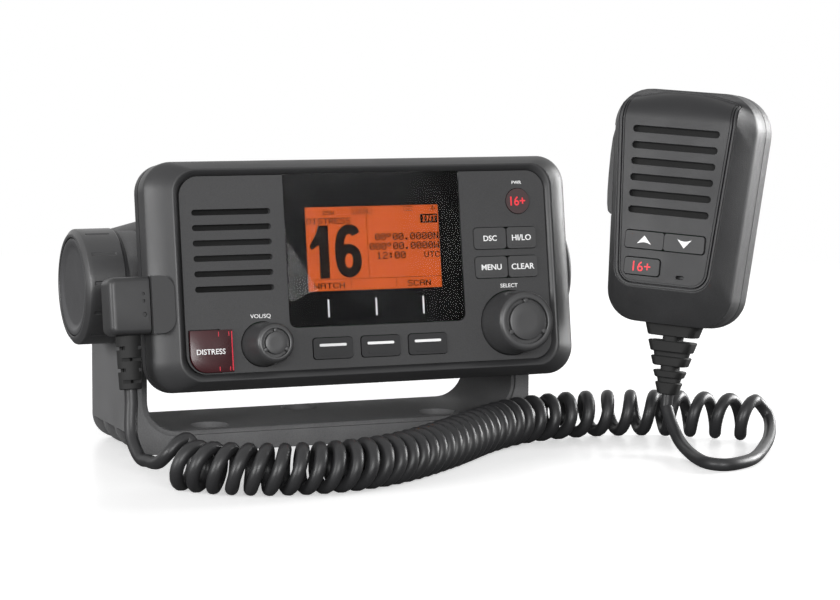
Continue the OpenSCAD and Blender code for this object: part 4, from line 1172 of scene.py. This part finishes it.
bm = bmesh.new()
rings = [add_ring(bm, plate_points(grow, y)) for grow, y in PLATE_SEAT]
edge = plate_points(1.9, 0.0)
crease = shell_points(0.0, 10.0)
for k in range(SLOPE_STEPS + 1):
    t = k / SLOPE_STEPS
    row = []
    for a, c in zip(edge, crease):
        b = a.lerp(c, 0.5)
        b.y = a.y + (c.y - a.y) * SLOPE_SAG
        row.append(a.lerp(b, t).lerp(b.lerp(c, t), t))
    rings.append(add_ring(bm, row))
rings += [add_ring(bm, shell_points(inset, y)) for inset, y in FRONT_SIDE]
skin_rings(bm, rings + [rings[0]], False, False)
front = finish_piece("handset_face", bm, HANDSET, None, SHELL_SKIN, (), 26.0)
bm = bmesh.new()
for low, high in SHELL_CUTS:
    box(bm, low, high)
carve(front, bm, HANDSET)
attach(front, "bracket")
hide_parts("handset_front")

bm = bmesh.new()
skin_rings(bm, [add_ring(bm, shell_points(inset, y)) for inset, y in REAR_SIDE])
finish_piece("handset_back", bm, HANDSET, "bracket", SHELL_SKIN, ("handset_rear",), 40.0)


def pierced_face(bm, outer, holes):
    """Fills the flat area between an outer ring and hole rings, all already in the mesh."""
    loops = [outer] + holes
    verts = [v for loop in loops for v in loop]
    flat = [[Vector((v.co.x, v.co.z, 0)) for v in loop] for loop in loops]
    for triangle in tessellate_polygon(flat):
        bm.faces.new([verts[i] for i in triangle])


SLOTS = 6
SLOT_TOP = 29.9
SLOT_PITCH = 6.18
SLOT_HALF = 17.4
SLOT_SHORTER = 0.24
SLOT_R = 1.2
KEY_R = 1.2
ARROW_KEYS = (-16.2, 16.2, -15.9, -8.9)
CHANNEL_KEY = (-15.5, -0.9, -26.0, -19.2)
MIC_HOLE = (5.7, 8.7, -26.0, -24.8)
MIC_R = 0.59


def plate_holes(grow):
    """Outlines of the grille's slots, the keys' openings and the microphone's hole."""
    holes = []
    for i in range(SLOTS):
        half = SLOT_HALF - SLOT_SHORTER * i
        z = SLOT_TOP - SLOT_PITCH * i
        deep = SLOT_R + grow
        holes.append(between(-half - grow, half + grow, z - deep, z + deep, deep - 0.01))
    for (left, right, bottom, top), r, n in (
        (ARROW_KEYS, KEY_R, 9), (CHANNEL_KEY, KEY_R, 9), (MIC_HOLE, MIC_R, 5),
    ):
        holes.append(between(left - grow, right + grow, bottom - grow, top + grow, r + grow, n))
    return holes


PLATE_BACK = 2.0
# The plate's rim and the groove inside it: how far in, and how deep
PLATE_EDGE = [
    (0.0, PLATE_BACK), (0.0, 0.18), (-0.18, 0.0), (-0.62, 0.0), (-0.68, 0.3), (-0.92, 0.3),
    (-0.98, 0.0),
]
CHAMFER = 0.2

bm = bmesh.new()
outer = [ring(bm, spaced(round_hull(PLATE, grow)), y) for grow, y in PLATE_EDGE]
skin_rings(bm, outer, False, False)
mouths = [ring(bm, outline, 0.0) for outline in plate_holes(CHAMFER)]
necks = [ring(bm, outline, CHAMFER) for outline in plate_holes(0.0)]
backs = [ring(bm, outline, PLATE_BACK) for outline in plate_holes(0.0)]
for mouth, neck, rear in zip(mouths, necks, backs):
    skin_rings(bm, [mouth, neck, rear], False, False)
pierced_face(bm, outer[-1], mouths)
pierced_face(bm, outer[0], backs)
# Cuts give the flat plate the edges it needs to bend smoothly
cuts = [((0, 0, BEND_Z + 0.1 + k * 1.2), (0, 0, 1)) for k in range(13)]
cuts += [((x, 0, 0), (1, 0, 0)) for x in range(-20, 21, 4)]
for at, across in cuts:
    bmesh.ops.bisect_plane(
        bm, geom=bm.verts[:] + bm.edges[:] + bm.faces[:], plane_co=at, plane_no=across)
for v in bm.verts:
    v.co = bent(*v.co)
finish_piece("handset_grille", bm, HANDSET, "bracket", DARK, ("handset_plate",), 34.0)

CLOTH_BOX = ((-18.4, 2.3, -4.5), (18.4, 2.6, 33.0))

bm = bmesh.new()
box(bm, *CLOTH_BOX)
finish_piece("handset_cloth", bm, HANDSET, "bracket", CLOTH, (), 34.0)

# The talk bar seen from the front, and its scale at each depth
TALK_BAR = [
    (-21.0, 30.2), (-27.6, 30.2), (-28.5, 29.0), (-29.1, 26.0), (-29.4, 20.0), (-29.4, 12.0),
    (-29.2, 5.0), (-28.8, 0.0), (-28.2, -2.8), (-27.2, -3.7), (-21.0, -3.7),
]
TALK_MIDDLE = (-25.5, 13.5)
TALK_DEPTHS = [(0.93, 8.7), (0.97, 9.0), (1.0, 9.7), (1.0, 17.0), (0.97, 17.7), (0.93, 18.1)]

bm = bmesh.new()
rings = []
for scale, y in TALK_DEPTHS:
    x0, z0 = TALK_MIDDLE
    row = [(x0 + (x - x0) * scale, z0 + (z - z0) * (2 + scale) / 3) for x, z in TALK_BAR]
    rings.append(ring(bm, row, y))
skin_rings(bm, rings)
finish_piece("talk_bar", bm, HANDSET, "talk_key", DARK, ("talk_key",), 50.0)

KEY_Y = -0.82
ARROW = [(-2.9, -1.6), (-1.4, -1.05), (0.0, -0.85), (1.4, -1.05), (2.9, -1.6), (0.0, 1.7)]
for key, x, turn in (("up_key", -8.2, 1), ("down_key", 8.0, -1)):
    bm = bmesh.new()
    corners = [(x + turn * px, -12.4 + turn * pz) for px, pz in ARROW]
    skin_rings(bm, [ring(bm, corners, KEY_Y - 0.03), ring(bm, corners, KEY_Y + 0.05)])
    finish_piece(key + "_mark", bm, HANDSET, key, LEGEND, (), 50.0)

bm = bmesh.new()
write(bm, "16+", -8.2, -22.6, KEY_Y, 5.4, 0.02, 1.0)
finish_piece("channel_key_legend", bm, HANDSET, "handset_channel_key", SCARLET, (), 50.0)


BOOT_TOP = -44.0
BOOT_MIDDLE = 20.0


def flat_ring(bm, w, h, r, z):
    """A level ring with round corners, for the strain relief."""
    return [bm.verts.new((x, BOOT_MIDDLE + y, z)) for x, y in rounded(w, h, r, n=6)]


# Distances below the handset, and what each stretch is: block, side web or flat slot
BOOT = [
    (0, 4.8, "block"), (4.8, 6.6, "web"), (6.6, 10.9, "block"), (10.9, 12.7, "slot"),
    (12.7, 16.4, "block"), (16.4, 18.2, "web"), (18.2, 21.0, "block"), (21.0, 22.8, "slot"),
    (22.8, 27.5, "block"),
]
bm = bmesh.new()
rings = [flat_ring(bm, 13, 9, 3, -36.5)]
for first, last, kind in BOOT:
    for d, lean in ((first, 0.35), (last, -0.35)):
        w = 21.4 - 0.5 * d
        h = 12.4 - 0.16 * d
        if kind == "web":
            rings.append(flat_ring(bm, 6.4, h - 1, 2.4, BOOT_TOP - d))
        if kind == "slot":
            rings.append(flat_ring(bm, w - 1, 5, 2.4, BOOT_TOP - d))
        if kind == "block":
            edges = [(0.8, 0.0), (0.0, lean)] if lean > 0 else [(0.0, lean), (0.8, 0.0)]
            for less, step in edges:
                z = BOOT_TOP - d - step
                rings.append(flat_ring(bm, w - less, h - less, 3 - less / 2, z))
skin_rings(bm, rings)
finish_piece("handset_boot", bm, HANDSET, "bracket", SEAL, ("handset_relief",), 40.0, 0.12, 2)


# ---- Floor, world and lamps ----

FLOOR_SIZE = 6.0
FLOOR_COLOR = (0.97, 0.97, 0.97, 1)
FLOOR_LIFT = 0.44
FLOOR_BOUNCE = (0.20, 0.20, 0.20, 1)
FADE_FROM = 0.25
FADE_TO = 0.8
AMBIENT = 0.16
CARD_GLOW = 4.0
CARD_FAR = 1.2


def sheet(name, bm, skin):
    """A plain piece of the stage."""
    mesh = new_mesh(name, bm)
    mesh.materials.append(skin)
    return new_object(name, mesh)


floor_skin, tree, shader, where = material("floor")
fill(tree, shader, {
    "Base Color": FLOOR_COLOR, "Roughness": 0.32, "Specular IOR Level": 0.25,
    "Emission Color": (1, 1, 1, 1), "Emission Strength": FLOOR_LIFT,
}, {})
glow = add(tree, "Emission", {}, {})
reach = add(tree, "VectorMath", {}, {0: where}, operation="LENGTH")
fade = add(
    tree, "MapRange", {"From Min": FADE_FROM, "From Max": FADE_TO},
    {"Value": reach.outputs["Value"]})
mixer = add(tree, "MixShader", {}, {
    "Fac": fade.outputs["Result"], 1: shader.outputs[0], 2: glow.outputs[0],
})
# Only the camera sees the white floor; the object gets less light back from below
dim = add(tree, "BsdfDiffuse", {"Color": FLOOR_BOUNCE}, {})
seen = add(tree, "LightPath", {}, {})
choice = add(tree, "MixShader", {}, {
    "Fac": seen.outputs["Is Camera Ray"], 1: dim.outputs[0], 2: mixer.outputs[0],
})
fill(tree, tree.nodes["Material Output"], {}, {"Surface": choice.outputs[0]})
bm = bmesh.new()
bmesh.ops.create_grid(bm, x_segments=1, y_segments=1, size=FLOOR_SIZE)
floor = sheet("floor", bm, floor_skin)

# The world is plain white to the camera, in reflections and through glass, and a dim light else
world = bpy.data.worlds.new("world")
world.use_nodes = True
bpy.context.scene.world = world
tree = world.node_tree
path = add(tree, "LightPath", {}, {})
direct = add(tree, "Math", {}, {
    0: path.outputs["Is Camera Ray"], 1: path.outputs["Is Glossy Ray"],
}, operation="MAXIMUM")
white = add(tree, "Math", {}, {
    0: direct.outputs[0], 1: path.outputs["Is Transmission Ray"],
}, operation="MAXIMUM")
level = add(
    tree, "MapRange", {"To Min": AMBIENT, "To Max": 1.0}, {"Value": white.outputs[0]})
fill(
    tree, tree.nodes["Background"], {"Color": (1, 1, 1, 1)},
    {"Strength": level.outputs["Result"]})

LAMP_AIM = (0, 0, 0.07)


def softbox(name, at, width, height, power):
    """A rectangular lamp turned to the object."""
    data = bpy.data.lights.new(name, "AREA")
    data.shape = "RECTANGLE"
    data.size = width
    data.size_y = height
    data.energy = power
    lamp = new_object(name, data)
    lamp.location = at
    lamp.rotation_euler = (Vector(LAMP_AIM) - Vector(at)).to_track_quat("-Z", "Y").to_euler()
    return lamp


def reflected(x, z, far):
    """Where the camera sees the window's point (x, z) mirrored, at a distance in front."""
    point = RADIO @ (Vector((x, FACE_Y, z)) * MM)
    normal = (RADIO.to_3x3() @ Vector((0, -1, 0))).normalized()
    ahead = (point - CAMERA_AT).normalized()
    return point + (ahead - normal * 2 * ahead.dot(normal)) * far


# A card seen in reflections and through glass only: its edge, mirrored in the window, runs from
# top right to bottom left
CARD = [(35.3, 53.0), (-21.0, -37.2), (-80.0, -37.2), (-80.0, 53.0)]
card_skin, tree, shader, where = material("card")
fill(tree, shader, {
    "Base Color": (0, 0, 0, 1), "Emission Color": (1, 1, 1, 1), "Emission Strength": CARD_GLOW,
}, {})
bm = bmesh.new()
bm.faces.new([bm.verts.new(reflected(x, z, CARD_FAR)) for x, z in CARD])
card = sheet("card", bm, card_skin)
card.visible_camera = False
card.visible_diffuse = False
card.visible_shadow = False

stage = [
    floor,
    card,
    softbox("front_light", (-0.5, -1.8, 0.42), 0.9, 0.5, 30.0),
    softbox("left_light", (-1.45, -0.45, 0.38), 0.8, 0.5, 19.0),
    softbox("right_light", (1.30, 0.10, 0.30), 0.7, 0.5, 24.0),
]
